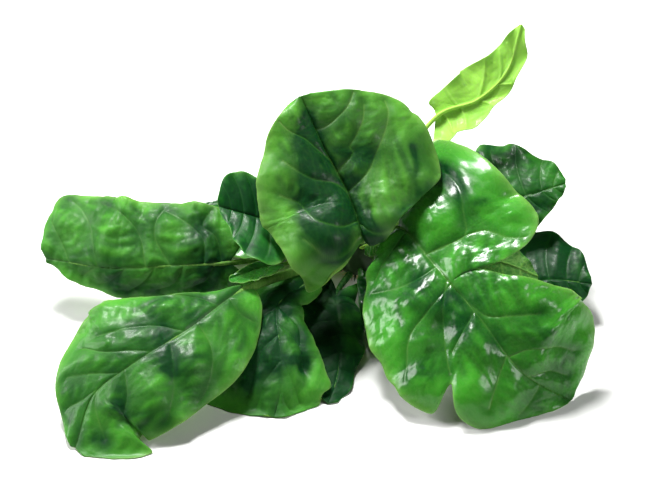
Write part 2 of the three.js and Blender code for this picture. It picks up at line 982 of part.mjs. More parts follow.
// The crown, or the space that it needs when grown by a gap.
function crownSolid(grown) {
  const profile = [
    [0, -STUB_LENGTH - grown],
    [CUT_RADIUS + grown, -STUB_LENGTH - grown],
    [CUT_RADIUS + 1 + grown, -STUB_LENGTH * 0.6],
    [CROWN_RADIUS + grown, -10],
    [CROWN_RADIUS + grown, -5],
    [6 + grown, 1],
    [3.5 + grown, 5],
    [0, 7 + grown],
  ];
  const lathe = new THREE.LatheGeometry(
    profile.map(([radius, up]) => new THREE.Vector2(radius, up)),
    16,
  );
  const upright = new THREE.Vector3(0, 1, 0);
  lathe.applyQuaternion(new THREE.Quaternion().setFromUnitVectors(upright, AXIS));
  lathe.translate(...CROWN.toArray());
  return solidOfGeometry(lathe);
}

function solidOfGeometry(geometry) {
  const position = geometry.getAttribute("position");
  const vertices = [];
  const seen = new Map();
  const merged = [];
  for (let i = 0; i < position.count; i++) {
    const v = new THREE.Vector3().fromBufferAttribute(position, i);
    const key = v.toArray().map((n) => Math.round(n * 1e3)).join();
    if (!seen.has(key)) {
      seen.set(key, vertices.length);
      vertices.push(v);
    }
    merged.push(seen.get(key));
  }
  const index = geometry.getIndex().array;
  const triangles = [];
  for (let i = 0; i < index.length; i += 3) {
    const t = [merged[index[i]], merged[index[i + 1]], merged[index[i + 2]]];
    if (new Set(t).size === 3) triangles.push(t);
  }
  return solidFrom(vertices, triangles);
}

function meshOf(name, solid, color, roughness) {
  const { vertProperties, triVerts, numProp } = solid.getMesh();
  const geometry = new THREE.BufferGeometry();
  geometry.setAttribute("position", new THREE.BufferAttribute(vertProperties, numProp));
  geometry.setIndex(new THREE.BufferAttribute(triVerts, 1));
  geometry.computeVertexNormals();
  const material = new THREE.MeshStandardMaterial({ color, roughness, metalness: 0 });
  const mesh = new THREE.Mesh(geometry, material);
  mesh.name = name;
  return mesh;
}

const bunch = new THREE.Group();
const crownSpace = crownSolid(SEAT_GAP);
bunch.add(meshOf("crown", crownSolid(0), "#b9b48c", 0.7));
for (const given of LEAVES) {
  const leaf = { ...DEFAULTS, ...given };
  const path = midribPath(leaf);
  const solid = bladeSolid(leaf, path).add(stalkSolid(leaf, path)).subtract(crownSpace);
  bunch.add(meshOf(leaf.name, solid, leaf.tint, 0.35));
}

// The origin is under the middle of the bunch.
const middle = new THREE.Box3().setFromObject(bunch).getCenter(new THREE.Vector3());
bunch.position.set(-middle.x, -middle.y, 0);
const root = new THREE.Group();
root.add(bunch);

export default root;
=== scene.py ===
"""Looks of a fresh bunch of spinach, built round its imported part. Metres, +Z up, in the part's frame."""

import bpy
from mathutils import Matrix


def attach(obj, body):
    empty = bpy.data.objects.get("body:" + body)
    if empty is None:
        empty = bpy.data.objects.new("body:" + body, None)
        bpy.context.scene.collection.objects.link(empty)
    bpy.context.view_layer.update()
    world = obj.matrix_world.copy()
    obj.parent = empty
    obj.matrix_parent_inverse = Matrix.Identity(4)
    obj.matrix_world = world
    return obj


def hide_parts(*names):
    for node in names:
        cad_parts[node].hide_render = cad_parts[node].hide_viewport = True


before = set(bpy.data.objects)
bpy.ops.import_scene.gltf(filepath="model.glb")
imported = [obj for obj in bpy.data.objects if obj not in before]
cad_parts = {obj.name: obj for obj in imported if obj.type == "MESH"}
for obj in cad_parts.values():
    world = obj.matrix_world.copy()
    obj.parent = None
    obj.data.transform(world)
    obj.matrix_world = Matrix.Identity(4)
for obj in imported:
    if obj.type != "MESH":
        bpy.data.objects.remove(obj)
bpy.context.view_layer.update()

import math

import bpy
import numpy as np
from bpy.props import FloatProperty, FloatVectorProperty, PointerProperty
from mathutils import Vector

bl_info = {
    "name": "Spinach bunch",
    "version": (1, 0, 0),
    "blender": (4, 5, 0),
    "location": "3D View > Sidebar > Spinach",
    "description": "Builds a fresh bunch of spinach, its crown and a pale table under soft light",
    "category": "Object",
}

MM = 0.001

# Leaves are laid out on a bench, in millimetres, with the crown over its origin. This is that origin
# in the part's frame.
BENCH = np.array([18.584, 9.534, 0.0])

# Crown
CROWN_HEIGHT = 28.0  # of the point where the stalks meet
CROWN_LEAN = math.radians(40)  # of the plant's axis from upright, towards the front
CROWN_RADIUS = 9.0
CUT_RADIUS = 4.5
WHORLS = {"outer": (-7, 9), "middle": (0, 7), "inner": (4, 4), "heart": (6.5, 1.5)}

# Blades
DRAPE = 2.0  # height below which a blade starts to flatten on the table
PATH_SAMPLES = 40  # of a midrib, in each span between its points
VEIN_END = 0.94  # share of the way to the margin that an ordinary side vein runs
VEIN_BOW = 0.12  # its bow, as a share of its length
VEIN_ROWS = 1.3  # the row at whose margin the first one ends, and the next ones a row further each
LINK_SPACING = 6.0  # of the finer veins that link two side veins
SHORTEST_LINK = 2.0
USUAL_PUFF = 1.2  # how far a blade swells between its veins
WAVE_SHIFT = 0.3  # of a wave, from the left margin's waves to the right one's
PUFF_WIDTH = 5.0  # distance from a vein over which the blade swells
PUFF_ROUND = 0.5  # square of the distance over which the foot of that swelling is rounded
BLISTER_WIDTH = 2.0  # distance from a vein over which a blister rises
CREST_SHADING_WIDTH = 6.0  # distance from a vein at which blisters have their full share of the painted light; nearer the veins the green is painted darker, as shade
FREE_WIDTH = 8.0  # distance from a vein at which ripples have their full height
RIPPLES = [(17, 1.0, 20), (6, 0.25, 20), (2.4, 0.07, 40)]  # each set's length, share of height and count
RIB_GROOVE = (0.85, 0.35)  # half width of the midrib's groove, at the neck and at the tip
VEIN_GROOVE = (0.5, 0.3)  # the same for a side vein, at the midrib and at the margin
FINE_WIDTH = 0.4  # half width of a finer vein
SIDE_DEPTH = 0.6  # depth of a side vein's groove, as a share of the midrib's
SHOW = (0.9, 0.8, 0.2)  # how plainly the midrib, the side veins and the finer veins show
RIDGES = (0.4, 0.15)  # how far the side veins and the finer veins stand out of the underside
MARGIN_SHARPNESS = 20  # the higher it is, the narrower the pale margin, which is painted light
MARGIN_THINNING = 0.45  # share of the thickness that is gone at the margin
UNDERSIDE_SHIFT = 20.0  # between the places where patterns are read for the two sides
CHUNK = 4000  # points that are measured against the veins at a time

# Stalks
STALK_STEP = 1.5
NECK_SHARE = 0.38  # a stalk's radius at the neck, as a share of its width at the crown
RIB_END = 0.86  # share of the midrib where the rib under the blade ends
RIB_END_RADIUS = 0.35

COMMON = dict(
    facing=(0, 0, 1),
    fold=[(0, 0), (0, 0)],
    curl=(-20, -20),
    puff=USUAL_PUFF,
    wave=1.2,
    waves=4,
    cell=0.9,
    tone=0.4,
    show=0.6,
    pale=0.15,
    dull=0,
    olive=0.3,
    rim=0.45,
    spots=[],
    rows=None,
    veins=None,
    bumps=[],
)

# An ordinary blade's rows, as shares of its length and of its breadth.
ORDINARY = [
    (0, -0.05, 0.3),
    (0.1, -0.06, 0.62),
    (0.22, 0.1, 0.9),
    (0.36, 0.3, 1),
    (0.52, 0.52, 0.97),
    (0.68, 0.72, 0.8),
    (0.84, 0.9, 0.5),
    (1, 1, 0.06),
]

# whorl and bearing say where the stalk is seated on the crown, and stalk is how wide it is there.
# path runs from the neck to the tip, and facing is the way the upper side looks at the neck.
# rows: the share of the midrib where a row starts, then its left end and its right end, along and out.
# fold lifts each half at the midrib, at the neck and at the tip, and curl lifts it on, per breadth.
# veins are each half's side veins, as places on the flat blade; without them, one is laid out per row.
# puff is how far the blade swells between its veins, and wave how far its margin waves, waves times.
# bumps are rounded swellings: place along the midrib, out from it (left is below 0), radius and height.
# cell is the mesh's cell size, and tone runs from a deep green at 0 to a fresh one at 1; it is set low
# as painted shade on leaves that lie in shadow. show is how plainly the veins show, pale how pale the
# stalk is, kept low as painted shade on stalks in shadow, dull how little the wax shines, olive how much
# yellow the green has, and rim how pale the margin is, which is painted light on the thin margin. spots
# are soft patches of painted shade and painted highlight, placed like bumps.
LEAVES = {
    "leaf_centre": dict(
        tone=0.6, show=1.0, olive=0.8, dull=0.6, cell=0.72,
        # Painted shade in the shadowed valley left of the midrib, and painted light on the lit bulges.
        spots=[
            (59, -2, 5, -0.6), (49, -5, 7, -0.7), (37, -7, 9, -0.7), (25, -11, 10, -0.7),
            (13, -10, 9, -0.7), (4, -14, 8, -0.7), (9, -22, 6, -0.4), (38, 5, 5, -0.4),
            (29, -19, 7, -0.5), (18, -22, 6, -0.4),
            (26, 4, 5, -0.5), (12, 2, 7, -0.5), (32, 13, 7, -0.4), (1, 5, 6, -0.5),
            (12, 15, 8, 0.2), (36, 27, 9, 0.1), (20, -33, 8, 0.15), (0, -31, 5, 0.1),
            (27, 39, 7, -0.3), (16, 38, 7, -0.4), (6, 31, 7, -0.4), (2, 22, 6, -0.5),
        ],
        whorl="inner", bearing=90, stalk=4,
        path=[(2, -24, 51), (-4, -10, 64), (-14, 2, 79), (-25, 17, 98)],
        facing=(0, -80, 60),
        breadth=40, fold=[(46, 28), (38, 22)], curl=(-78, -62),
        rows=[
            (0, -3, 15, -2, 4), (0.06, -11, 24, 0, 10), (0.13, -16, 32, 3, 18),
            (0.165, -4, 32, 5, 23), (0.21, 3, 38, 8, 30), (0.32, 27, 43, 13, 40),
            (0.45, 42, 35, 20, 46), (0.6, 53, 26, 29, 46), (0.75, 61, 18, 48, 43),
            (0.9, 67, 8, 61, 25), (1, 69, 1, 68, 5),
        ],
        veins=[
            [
                [(2, 0), (0, 11), (1, 21), (5, 27)],
                [(8, 0), (6, 11), (11, 20), (28, 23), (35, 28)],
                [(21, 0), (28, 4), (33, 11), (39, 16), (46, 20)],
                [(38, 0), (45, 4), (51, 7), (57, 12), (62, 14)],
            ],
            [
                [(7, 0), (2, 6), (2, 16), (5, 25), (9, 35)],
                [(22, 0), (25, 12), (31, 20), (38, 28), (47, 33), (52, 34)],
                [(32, 0), (36, 11), (39, 11), (42, 15), (48, 21), (54, 24)],
                [(53, 0), (52, 4), (53, 10), (56, 17), (61, 22)],
            ],
        ],
        bumps=[
            (17, 14, 8, 2), (3, 15, 8, 2.5), (11, 24, 6, -2.5),
            (20, 31, 7, 1.5), (51, 14, 10, 1.5), (9, -18, 10, 3),
            (42, -21, 8, 2), (-2, -24, 6, -2),
        ],
    ),
    "leaf_front_right": dict(
        tone=0.6, show=0.6, olive=0.35, cell=0.78,
        # Painted shade where the centre leaf's shadow falls on the upper lobe, and painted light towards the
        # margins.
        spots=[
            (0, -26, 12, -0.6), (6, -10, 8, -0.3), (30, 10, 7, -0.4), (44, 5, 6, -0.4),
            (58, 8, 7, -0.3), (70, -6, 9, -0.2), (88, 15, 12, 0.3), (100, -8, 12, 0.2),
            (40, -30, 8, 0.2),
        ],
        whorl="middle", bearing=-20, stalk=5.5,
        path=[(18, -17, 52), (32, -37, 47), (49, -60, 38), (68, -77, 20), (91, -73, 0)],
        facing=(0, -40, 90),
        breadth=45, fold=[(20, 0), (-10, 0)], curl=(-12, -23),
        rows=[
            (0, -22, 42, -2, 11), (0.04, -12, 47, -1, 21), (0.08, 3, 47, 14, 29),
            (0.12, 18, 48, 20, 35), (0.17, 37, 48, 26, 39), (0.22, 45, 36, 37, 44),
            (0.27, 44, 20, 45, 45), (0.31, 39, 9, 53, 47), (0.33, 38, 4, 61, 46),
            (0.36, 39, 10, 68, 46), (0.42, 54, 23, 75, 43), (0.47, 59, 29, 78, 40),
            (0.5, 64, 34, 74, 26), (0.53, 67, 37, 83, 32), (0.6, 73, 40, 89, 30),
            (0.7, 112, 37, 95, 24), (0.8, 117, 24, 103, 17), (0.9, 119, 12, 111, 7),
            (1, 118, 3, 116, 2),
        ],
        veins=[
            [
                [(20, 0), (22, 8), (25, 18), (15, 24), (8, 29), (0, 32)],
                [(20, 0), (23, 9), (25, 18), (29, 26), (37, 31), (42, 37)],
                [(46, 0), (54, 1), (60, 3), (66, 12), (72, 22)],
                [(79, 0), (82, 8), (95, 17), (109, 20)],
                [(91, 0), (99, 7), (110, 9)],
            ],
            [
                [(5, 0), (7, 7), (10, 16), (15, 24)],
                [(28, 0), (28, 9), (24, 20), (19, 29)],
                [(36, 0), (45, 9), (54, 16), (62, 20), (71, 24)],
                [(39, 0), (43, 16), (46, 27), (53, 35), (62, 41)],
                [(55, 0), (60, 10), (64, 18)],
                [(78, 0), (83, 10), (87, 21)],
                [(98, 0), (98, 8), (97, 15)],
            ],
        ],
        bumps=[
            (35, 15, 12, 3), (51, 14, 6, -2.5), (61, 19, 6, -2),
            (66, 9, 8, 2.5), (44, 32, 10, 2), (69, 35, 8, 1.5),
            (82, 21, 9, 2), (10, -15, 9, 2.5), (13, -31, 8, 1.5),
            (62, -18, 10, 2), (86, -17, 10, 2),
        ],
    ),
    "leaf_front_left": dict(
        tone=0.5, show=0.35, olive=0.5, dull=0.6, cell=0.72,
        # Painted shade in the valleys, and painted light towards the tip.
        spots=[
            (30, 2, 5, -0.3), (43, 4, 6, -0.3), (47, -5, 4, -0.5), (52, -11, 4, -0.4),
            (73, -8, 5, -0.4), (80, -12, 5, -0.4), (94, -5, 6, 0.3), (77, 18, 6, 0.2),
        ],
        whorl="outer", bearing=187, stalk=5.4,
        path=[(-50, -37, 33), (-72, -62, 31), (-96, -80, 25), (-111, -87, 15), (-118, -104, 1)],
        facing=(0, -35, 90),
        breadth=40, fold=[(-10, -10), (5, 5)], curl=(-25, -20),
        rows=[
            (0, -5, 3, 0, 2), (0.08, -1, 12, 8, 6), (0.18, 11, 22, 18, 12),
            (0.28, 25, 27, 32, 20), (0.38, 34, 30, 49, 33), (0.48, 45, 31, 60, 33),
            (0.58, 59, 32, 74, 30), (0.68, 89, 28, 80, 26), (0.76, 98, 25, 85, 19),
            (0.84, 102, 31.5, 92, 13), (0.92, 109.5, 19, 101, 7), (1, 111, 6, 107, 2),
        ],
        veins=[
            [
                [(9, 0), (10, 9), (7, 15)],
                [(29, 0), (31, 10), (36, 19), (43, 26), (49, 29)],
                [(44, 0), (48, 8), (55, 19), (65, 28)],
                [(67, 0), (73, 12), (90, 18)],
                [(81, 0), (91, 5), (101, 11)],
            ],
            [
                [(16, 0), (18, 7), (25, 15), (32, 21)],
                [(36, 0), (43, 8), (51, 13), (60, 17), (70, 20)],
                [(53, 0), (61, 6), (72, 13), (77, 20)],
                [(69, 0), (74, 3), (81, 10), (84, 15)],
                [(81, 0), (87, 3), (92, 9)],
            ],
        ],
        bumps=[
            (62, 14, 9, 1.5), (62, 14, 3, -1.5), (34, 12, 8, 1.5),
            (42, -16, 9, 2.5), (65, -17, 9, 2.5), (24, -19, 9, 1.5),
            (77, 14, 7, 1), (86, -9, 8, 2),
        ],
    ),
    "leaf_left": dict(
        tone=0.55, show=0.35, olive=0.6, dull=0.8, cell=0.7,
        # Painted shade on the shaded lower half, and painted light on the lit puckers.
        spots=[
            (5, -10, 12, -0.8), (30, -12, 9, -0.4), (50, -10, 8, -0.2), (11, 17, 8, -0.3),
            (53, 17, 7, 0.3), (28, 15, 6, 0.2), (80, 16, 7, 0.2),
        ],
        whorl="outer", bearing=161, stalk=4,
        path=[(-57, -14, 31), (-83, -15, 30), (-110, -14, 28), (-140, -1, 24)],
        facing=(0, -70, 70),
        breadth=30, fold=[(-30, -30), (0, 0)], curl=(-20, -18),
        puff=2,
        rows=[
            (0, -12, 10, -12, 14), (0.1, 2, 14, -3, 24), (0.22, 17, 16, 15, 29),
            (0.35, 31, 16, 32, 31), (0.5, 44, 15, 55, 34), (0.65, 56, 13, 76, 33),
            (0.8, 68, 10, 88, 29), (0.92, 79, 5, 91, 20), (1, 86, 2, 89, 4),
        ],
        veins=[
            [
                [(6, 0), (11, 8), (16, 10)],
                [(20, 0), (25, 8), (32, 11)],
                [(33, 0), (39, 7), (46, 11)],
                [(46, 0), (53, 6), (59, 8)],
                [(60, 0), (67, 5)],
            ],
            [
                [(3, 0), (5, 12), (11, 18), (6, 25)],
                [(11, 0), (11, 11), (17, 18), (27, 25)],
                [(26, 0), (32, 12), (32, 19), (28, 27)],
                [(37, 0), (40, 16), (50, 25), (68, 30)],
                [(59, 0), (67, 16), (75, 24), (83, 29)],
                [(74, 0), (81, 9), (88, 17)],
            ],
        ],
        bumps=[
            (53, 15, 9, 2), (25, 17, 7, 1.5), (82, 17, 8, 1.5),
            (5, 16, 6, 1), (27, -9, 6, 1),
        ],
    ),
    "leaf_small_left": dict(
        # Its rim is strong: painted light on its curled, lit margin.
        tone=0.25, show=0.4, olive=0, dull=0.6, rim=1, cell=0.6,
        whorl="middle", bearing=155, stalk=3,
        path=[(-34, -9, 48), (-47, -8, 52), (-61, -5, 55)],
        facing=(0, -60, 80),
        breadth=20, fold=[(20, 20), (20, 20)], curl=(10, -20),
        puff=0.6, wave=0.5,
        rows=[
            (0, -3, 18, 1, 12), (0.2, 3, 25, 11, 15), (0.4, 9, 24, 20, 18),
            (0.6, 16, 18, 26, 17), (0.8, 20, 11, 30, 13), (1, 27, 3, 30, 3),
        ],
    ),
    "leaf_narrow": dict(
        tone=0.6, show=0.5, cell=0.5,
        whorl="middle", bearing=190, stalk=2.4,
        path=[(-33, -23, 37), (-45, -25, 35), (-56, -29, 33)],
        facing=(0, -20, 100),
        breadth=10, fold=[(20, 20), (30, 30)], curl=(10, 10),
        puff=0.3, wave=0.3,
        rows=[
            (0, 1, 5, 1, 2), (0.25, 7, 11, 7, 3), (0.5, 16, 12, 14, 3),
            (0.75, 22, 8, 19, 2), (1, 25, 2, 24, 1),
        ],
    ),
    "leaf_low_front": dict(
        # Low tone and low pale as painted shade under the front-left leaf; its spots paint highlights on the
        # fold ridges and shade in the folds.
        tone=0.3, show=0.0, pale=0.1, olive=0.5, dull=0.9, cell=0.75,
        spots=[
            (46, -5, 4, 0.3), (57, -4, 4, 0.4), (58, -16, 5, 0.5), (67, -8, 8, 0.4), (67, 6, 9, 0.3),
            (54, -10, 4, -0.4), (40, 8, 8, -0.4), (60, 17, 8, -0.5), (20, 0, 13, -0.5),
        ],
        whorl="outer", bearing=215, stalk=4.2,
        path=[(-23, -19, 23), (-35, -38, 25), (-34, -57, 20), (-33, -72, 9), (-36, -84, -1)],
        facing=(-4, -30, 90),
        breadth=25, fold=[(-8, 0), (-16, -14)], curl=(-14, -30),
        puff=2,
        rows=[
            (0, -6, 2, -9, 12), (0.07, -3, 7, -1, 17), (0.14, 5, 8, 8, 20),
            (0.22, 14, 8, 16, 20), (0.3, 20, 11, 23, 18), (0.4, 30, 13, 29, 21),
            (0.5, 39, 15, 36, 28), (0.6, 48, 18, 52, 35), (0.7, 56, 20, 72, 36),
            (0.78, 60, 22, 79, 34), (0.86, 63, 18, 81, 25), (0.93, 68, 18, 79, 13),
            (1, 73, 9, 76, 3),
        ],
        veins=[
            [
                [(23, 0), (28, 5), (36, 9), (44, 9)],
                [(34, 0), (40, 6), (47, 9), (56, 10)],
                [(44, 0), (52, 1), (60, 4), (68, 9)],
                [(56, 0), (65, 1), (69, 3), (72, 6)],
            ],
            [
                [(25, 0), (29, 6), (34, 12), (39, 17)],
                [(39, 0), (46, 8), (55, 11), (69, 13)],
                [(51, 0), (60, 7), (69, 8), (74, 9)],
            ],
        ],
        bumps=[
            (56, -4, 5, 2), (57, -16, 5, 2), (33, -10, 6, 1.5),
            (54, -10, 4, -2), (64, -3, 5, 1), (59, 14, 8, 2),
        ],
    ),
    "leaf_dark_front": dict(
        # Dark green as painted shade: this leaf fills the shadowed hollow under the bunch, and its spots
        # paint a lit lump lighter.
        tone=0.1, show=0.0, pale=0, dull=1.0, cell=0.7,
        spots=[
            (7, 3, 5, 0.4), (16, -2, 5, 0.3), (26, -4, 5, 0.3), (15, -9, 5, 0.2), (30, 12, 10, -0.5),
            (45, 4, 8, -0.3),
        ],
        whorl="outer", bearing=250, stalk=4,
        path=[(-9, -13, 14), (-8, -38, 10), (-9, -60, 4), (-13, -75, 0)],
        facing=(10, -30, 90),
        breadth=20, fold=[(-12, -8), (-5, -5)], curl=(-14, -8),
        rows=[
            (0, -9, 8, -21, 14), (0.06, -2, 9, -15, 20), (0.14, 3, 10, 1, 20),
            (0.28, 14, 12, 17, 19), (0.42, 24, 12, 31, 18), (0.56, 33, 11, 43, 14),
            (0.7, 43, 8, 52, 11), (0.82, 51, 7, 57, 8), (0.92, 57, 6, 61, 5),
            (1, 62, 4, 63, 3),
        ],
        bumps=[
            (7, -3, 5, 2), (29, -2, 6, 1.5), (21, -7, 5, 1),
        ],
    ),
    "leaf_under_right": dict(
        # Dark green as painted shade: this leaf fills the shadowed gap between the dark front leaf and the
        # front right leaf.
        tone=0.1, show=0.3, cell=0.6,
        whorl="outer", bearing=297, stalk=3,
        path=[(10, -14, 18), (14, -31, 9), (18, -44, 1)],
        facing=(0, -20, 100),
        breadth=20,
        rows=[
            (0, -3, 5, -14, 5), (0.2, 4, 10, -7, 8), (0.4, 16, 13, 5, 11),
            (0.6, 26, 12, 16, 11), (0.8, 35, 7, 28, 10), (1, 39, 1, 38, 2),
        ],
    ),
    "leaf_upright": dict(
        tone=1.0, show=0.3, pale=0.9, dull=0.3, cell=0.5,
        whorl="middle", bearing=65, stalk=3.6,
        path=[(36, 41, 73), (55, 46, 79), (68, 51, 91), (74, 58, 111)],
        facing=(0, 82, -57),
        breadth=16, fold=[(0, 0), (-5, 5)], curl=(-70, 0),
        puff=0.8,
        rows=[
            (0, -9, 9, 2, 3), (0.08, -2, 16, 1, 7), (0.18, 12, 14, 6, 9),
            (0.32, 21, 9, 15, 14), (0.45, 29, 7, 26, 15), (0.58, 37, 6, 42, 11),
            (0.72, 45, 6, 51, 7), (0.86, 52, 5, 57, 4), (1, 60, 2, 61, 1),
        ],
        veins=[
            [
                [(3, 0), (4, 6), (1, 13)],
                [(12, 0), (13, 6), (12, 12)],
                [(21, 0), (24, 5), (25, 9)],
                [(32, 0), (36, 5)],
            ],
            [
                [(11, 0), (9, 5), (8, 10)],
                [(21, 0), (28, 5), (34, 9), (40, 12)],
                [(34, 0), (41, 4), (48, 7)],
                [(46, 0), (52, 4)],
            ],
        ],
    ),
    "leaf_right": dict(
        tone=0.35, show=0.4, dull=0.6, cell=0.7,
        whorl="middle", bearing=25, stalk=3.6,
        path=[(60, 17, 39), (78, 19, 45), (94, 21, 50)],
        facing=(0, -50, 87),
        breadth=20, fold=[(10, 0), (-10, 0)],
        rows=[
            (0, -2, 10, 0, 7), (0.15, 0, 24, 6, 14), (0.3, 6, 34, 15, 16),
            (0.5, 17, 31, 23, 12), (0.7, 28, 19, 29, 8), (0.85, 35, 10, 33, 5),
            (1, 37, 2, 36, 2),
        ],
    ),
    "leaf_low_right": dict(
        tone=0.0, show=0.3, dull=0.7, cell=0.7,
        whorl="outer", bearing=5, stalk=3.6,
        path=[(68, -9, 15), (87, -9, 18), (105, -12, 18)],
        facing=(0, -50, 87),
        breadth=20, fold=[(5, 0), (-10, -10)],
        rows=[
            (0, -2, 8, 2, 5), (0.15, -2, 21, 8, 10), (0.3, 12, 30, 18, 14),
            (0.5, 18, 28, 28, 13), (0.7, 25, 21, 33, 10), (0.85, 32, 14, 36, 6),
            (1, 37, 3, 37, 2),
        ],
    ),
    "leaf_tucked": dict(
        tone=0.1, show=0.3, dull=1.0, cell=0.6,
        whorl="outer", bearing=-30, stalk=3,
        path=[(47, -10, 28), (63, -11, 29), (80, -16, 25)],
        facing=(0, 50, -87),
        breadth=15,
        puff=0.6,
        rows=[
            (0, 2, 5, 1, 4), (0.25, 10, 11, 8, 9), (0.5, 20, 12, 16, 10),
            (0.75, 30, 9, 25, 7), (1, 35, 2, 33, 2),
        ],
    ),
    "leaf_back_left": dict(
        whorl="outer", bearing=132, stalk=4,
        path=[(-30, 20, 26), (-52, 38, 26), (-72, 54, 16), (-86, 64, 1)],
        facing=(0, 10, 100),
        breadth=30, fold=[(-10, -10), (0, -10)],
    ),
    "leaf_back": dict(
        whorl="middle", bearing=105, stalk=4.5,
        path=[(-8, 34, 38), (-14, 58, 38), (-18, 78, 24), (-20, 90, 4)],
        breadth=33, fold=[(-10, -15), (-10, -15)],
    ),
    "leaf_back_right": dict(
        whorl="outer", bearing=56, stalk=4,
        path=[(26, 34, 26), (42, 56, 23), (52, 72, 13), (58, 84, 0)],
        breadth=28, fold=[(-10, -15), (-10, -15)],
    ),
    "leaf_back_upper": dict(
        whorl="inner", bearing=140, stalk=3.6,
        path=[(-12, 12, 52), (-16, 28, 64), (-20, 42, 68), (-24, 56, 62)],
        facing=(0, -30, 100),
        breadth=24, fold=[(10, 0), (10, 0)], curl=(-40, -40),
    ),
    "leaf_far_right": dict(
        whorl="outer", bearing=28, stalk=3.6,
        path=[(44, 25, 32), (66, 37, 33), (90, 47, 22)],
        breadth=21, fold=[(0, -10), (0, -10)],
    ),
    "heart_leaf_left": dict(
        tone=0.9, show=0.9, pale=0.6, cell=0.5,
        whorl="heart", bearing=200, stalk=1.8,
        path=[(-3, -8, 37), (-5, -11, 41), (-6, -14, 46)],
        facing=(20, -60, 80),
        breadth=5,
        puff=0.2, wave=0.5,
    ),
    "heart_leaf_right": dict(
        tone=0.9, show=0.9, pale=0.6, cell=0.5,
        whorl="heart", bearing=330, stalk=1.8,
        path=[(4, -9, 37), (7, -12, 39), (10, -15, 42)],
        facing=(-20, -60, 80),
        breadth=5,
        puff=0.2, wave=0.5,
    ),
}


def unit(v):
    """Vectors made one long."""
    return v / np.linalg.norm(v, axis=-1, keepdims=True)


def between(ends, share):
    """The value at a share of the way from one end to the other."""
    return ends[0] + (ends[1] - ends[0]) * share


def spline(points, at):
    """A centripetal curve through points, read at span numbers that may be fractions."""
    points = np.asarray(points, float)
    padded = np.vstack([2 * points[0] - points[1], points, 2 * points[-1] - points[-2]])
    at = np.asarray(at, float)
    span = np.clip(at.astype(int), 0, len(points) - 2)
    w = (at - span)[:, None]
    p0, p1, p2, p3 = (padded[span + k] for k in range(4))

    def step(a, b):
        return np.maximum(np.sqrt(np.linalg.norm(a - b, axis=1, keepdims=True)), 1e-4)

    d0, d1, d2 = step(p0, p1), step(p1, p2), step(p2, p3)
    t1 = ((p1 - p0) / d0 - (p2 - p0) / (d0 + d1) + (p2 - p1) / d1) * d1
    t2 = ((p2 - p1) / d1 - (p3 - p1) / (d1 + d2) + (p3 - p2) / d2) * d1
    cubic = 2 * (p1 - p2) + t1 + t2
    square = 3 * (p2 - p1) - 2 * t1 - t2
    return p1 + t1 * w + square * w**2 + cubic * w**3


def crown_place(up, out, bearing):
    """A place by its distance up the plant's axis and its distance and bearing from it."""
    axis = np.array([0, -math.sin(CROWN_LEAN), math.cos(CROWN_LEAN)])
    across = np.array([1.0, 0, 0])
    upward = np.cross(axis, across)
    bearing = np.radians(bearing)
    spread = np.multiply.outer(np.cos(bearing) * out, across)
    spread += np.multiply.outer(np.sin(bearing) * out, upward)
    return np.array([0, 0, CROWN_HEIGHT]) + np.multiply.outer(up, axis) + spread


def drape(z, lowest):
    """Heights kept from going under the table: they flatten out at lowest."""
    over = z - lowest
    eased = lowest + (np.clip(over, -DRAPE, DRAPE) + DRAPE) ** 2 / (4 * DRAPE)
    return np.where(over > DRAPE, z, eased)


class Midrib:
    """A leaf's midrib from the crown to the tip: close samples, each with its frame."""

    def __init__(self, leaf):
        up, out = WHORLS[leaf["whorl"]]
        points = [crown_place(up, out, leaf["bearing"]), *leaf["path"]]
        spans = len(points) - 1
        count = PATH_SAMPLES * spans
        self.first = PATH_SAMPLES
        self.places = spline(points, np.linspace(0, spans, count + 1))
        steps = np.linalg.norm(np.diff(self.places, axis=0), axis=1)
        travelled = np.concatenate([[0], np.cumsum(steps)])
        self.along = travelled - travelled[self.first]
        self.start, self.length = self.along[0], self.along[-1]
        ahead = np.vstack([self.places[1:], self.places[-1:]])
        behind = np.vstack([self.places[:1], self.places[:-1]])
        self.tangents = unit(ahead - behind)
        self.normals = np.zeros_like(self.places)
        self.normals[self.first] = self.square(np.array(leaf["facing"], float), self.first)
        for i in range(self.first + 1, count + 1):
            self.normals[i] = self.square(self.normals[i - 1], i)
        for i in range(self.first - 1, -1, -1):
            self.normals[i] = self.square(self.normals[i + 1], i)

    def square(self, v, i):
        """A vector made square to the midrib at a sample."""
        tangent = self.tangents[i]
        return unit(v - tangent * (v @ tangent))

    def at(self, along, first=0):
        """Places, tangents, normals and right-hand directions at distances from the neck."""
        i = np.clip(np.searchsorted(self.along, along), first + 1, len(self.along) - 1)
        share = ((along - self.along[i - 1]) / (self.along[i] - self.along[i - 1]))[:, None]
        mix = np.clip(share, 0, 1)
        place = self.places[i - 1] + (self.places[i] - self.places[i - 1]) * share
        tangent = unit(self.tangents[i - 1] + (self.tangents[i] - self.tangents[i - 1]) * mix)
        normal = self.normals[i - 1] + (self.normals[i] - self.normals[i - 1]) * mix
        normal = unit(normal - tangent * (normal * tangent).sum(1, keepdims=True))
        return place, tangent, normal, np.cross(tangent, normal)


def bowed(a, c, bow, count=9):
    """A bowed line from a to c, as points."""
    a, c = np.asarray(a, float), np.asarray(c, float)
    chord = c - a
    b = (a + c) / 2 + np.array([-chord[1], chord[0]]) * bow
    t = np.linspace(0, 1, count)[:, None]
    return a * (1 - t) ** 2 + b * 2 * t * (1 - t) + c * t**2


def smooth(line):
    """A line's points, with three more between each two on a smooth curve."""
    return spline(line, np.linspace(0, len(line) - 1, 4 * (len(line) - 1) + 1))


def read(line, share):
    """The point at a share of a line's points."""
    at = share * (len(line) - 1)
    i = min(int(at), len(line) - 2)
    return line[i] + (line[i + 1] - line[i]) * (at - i)


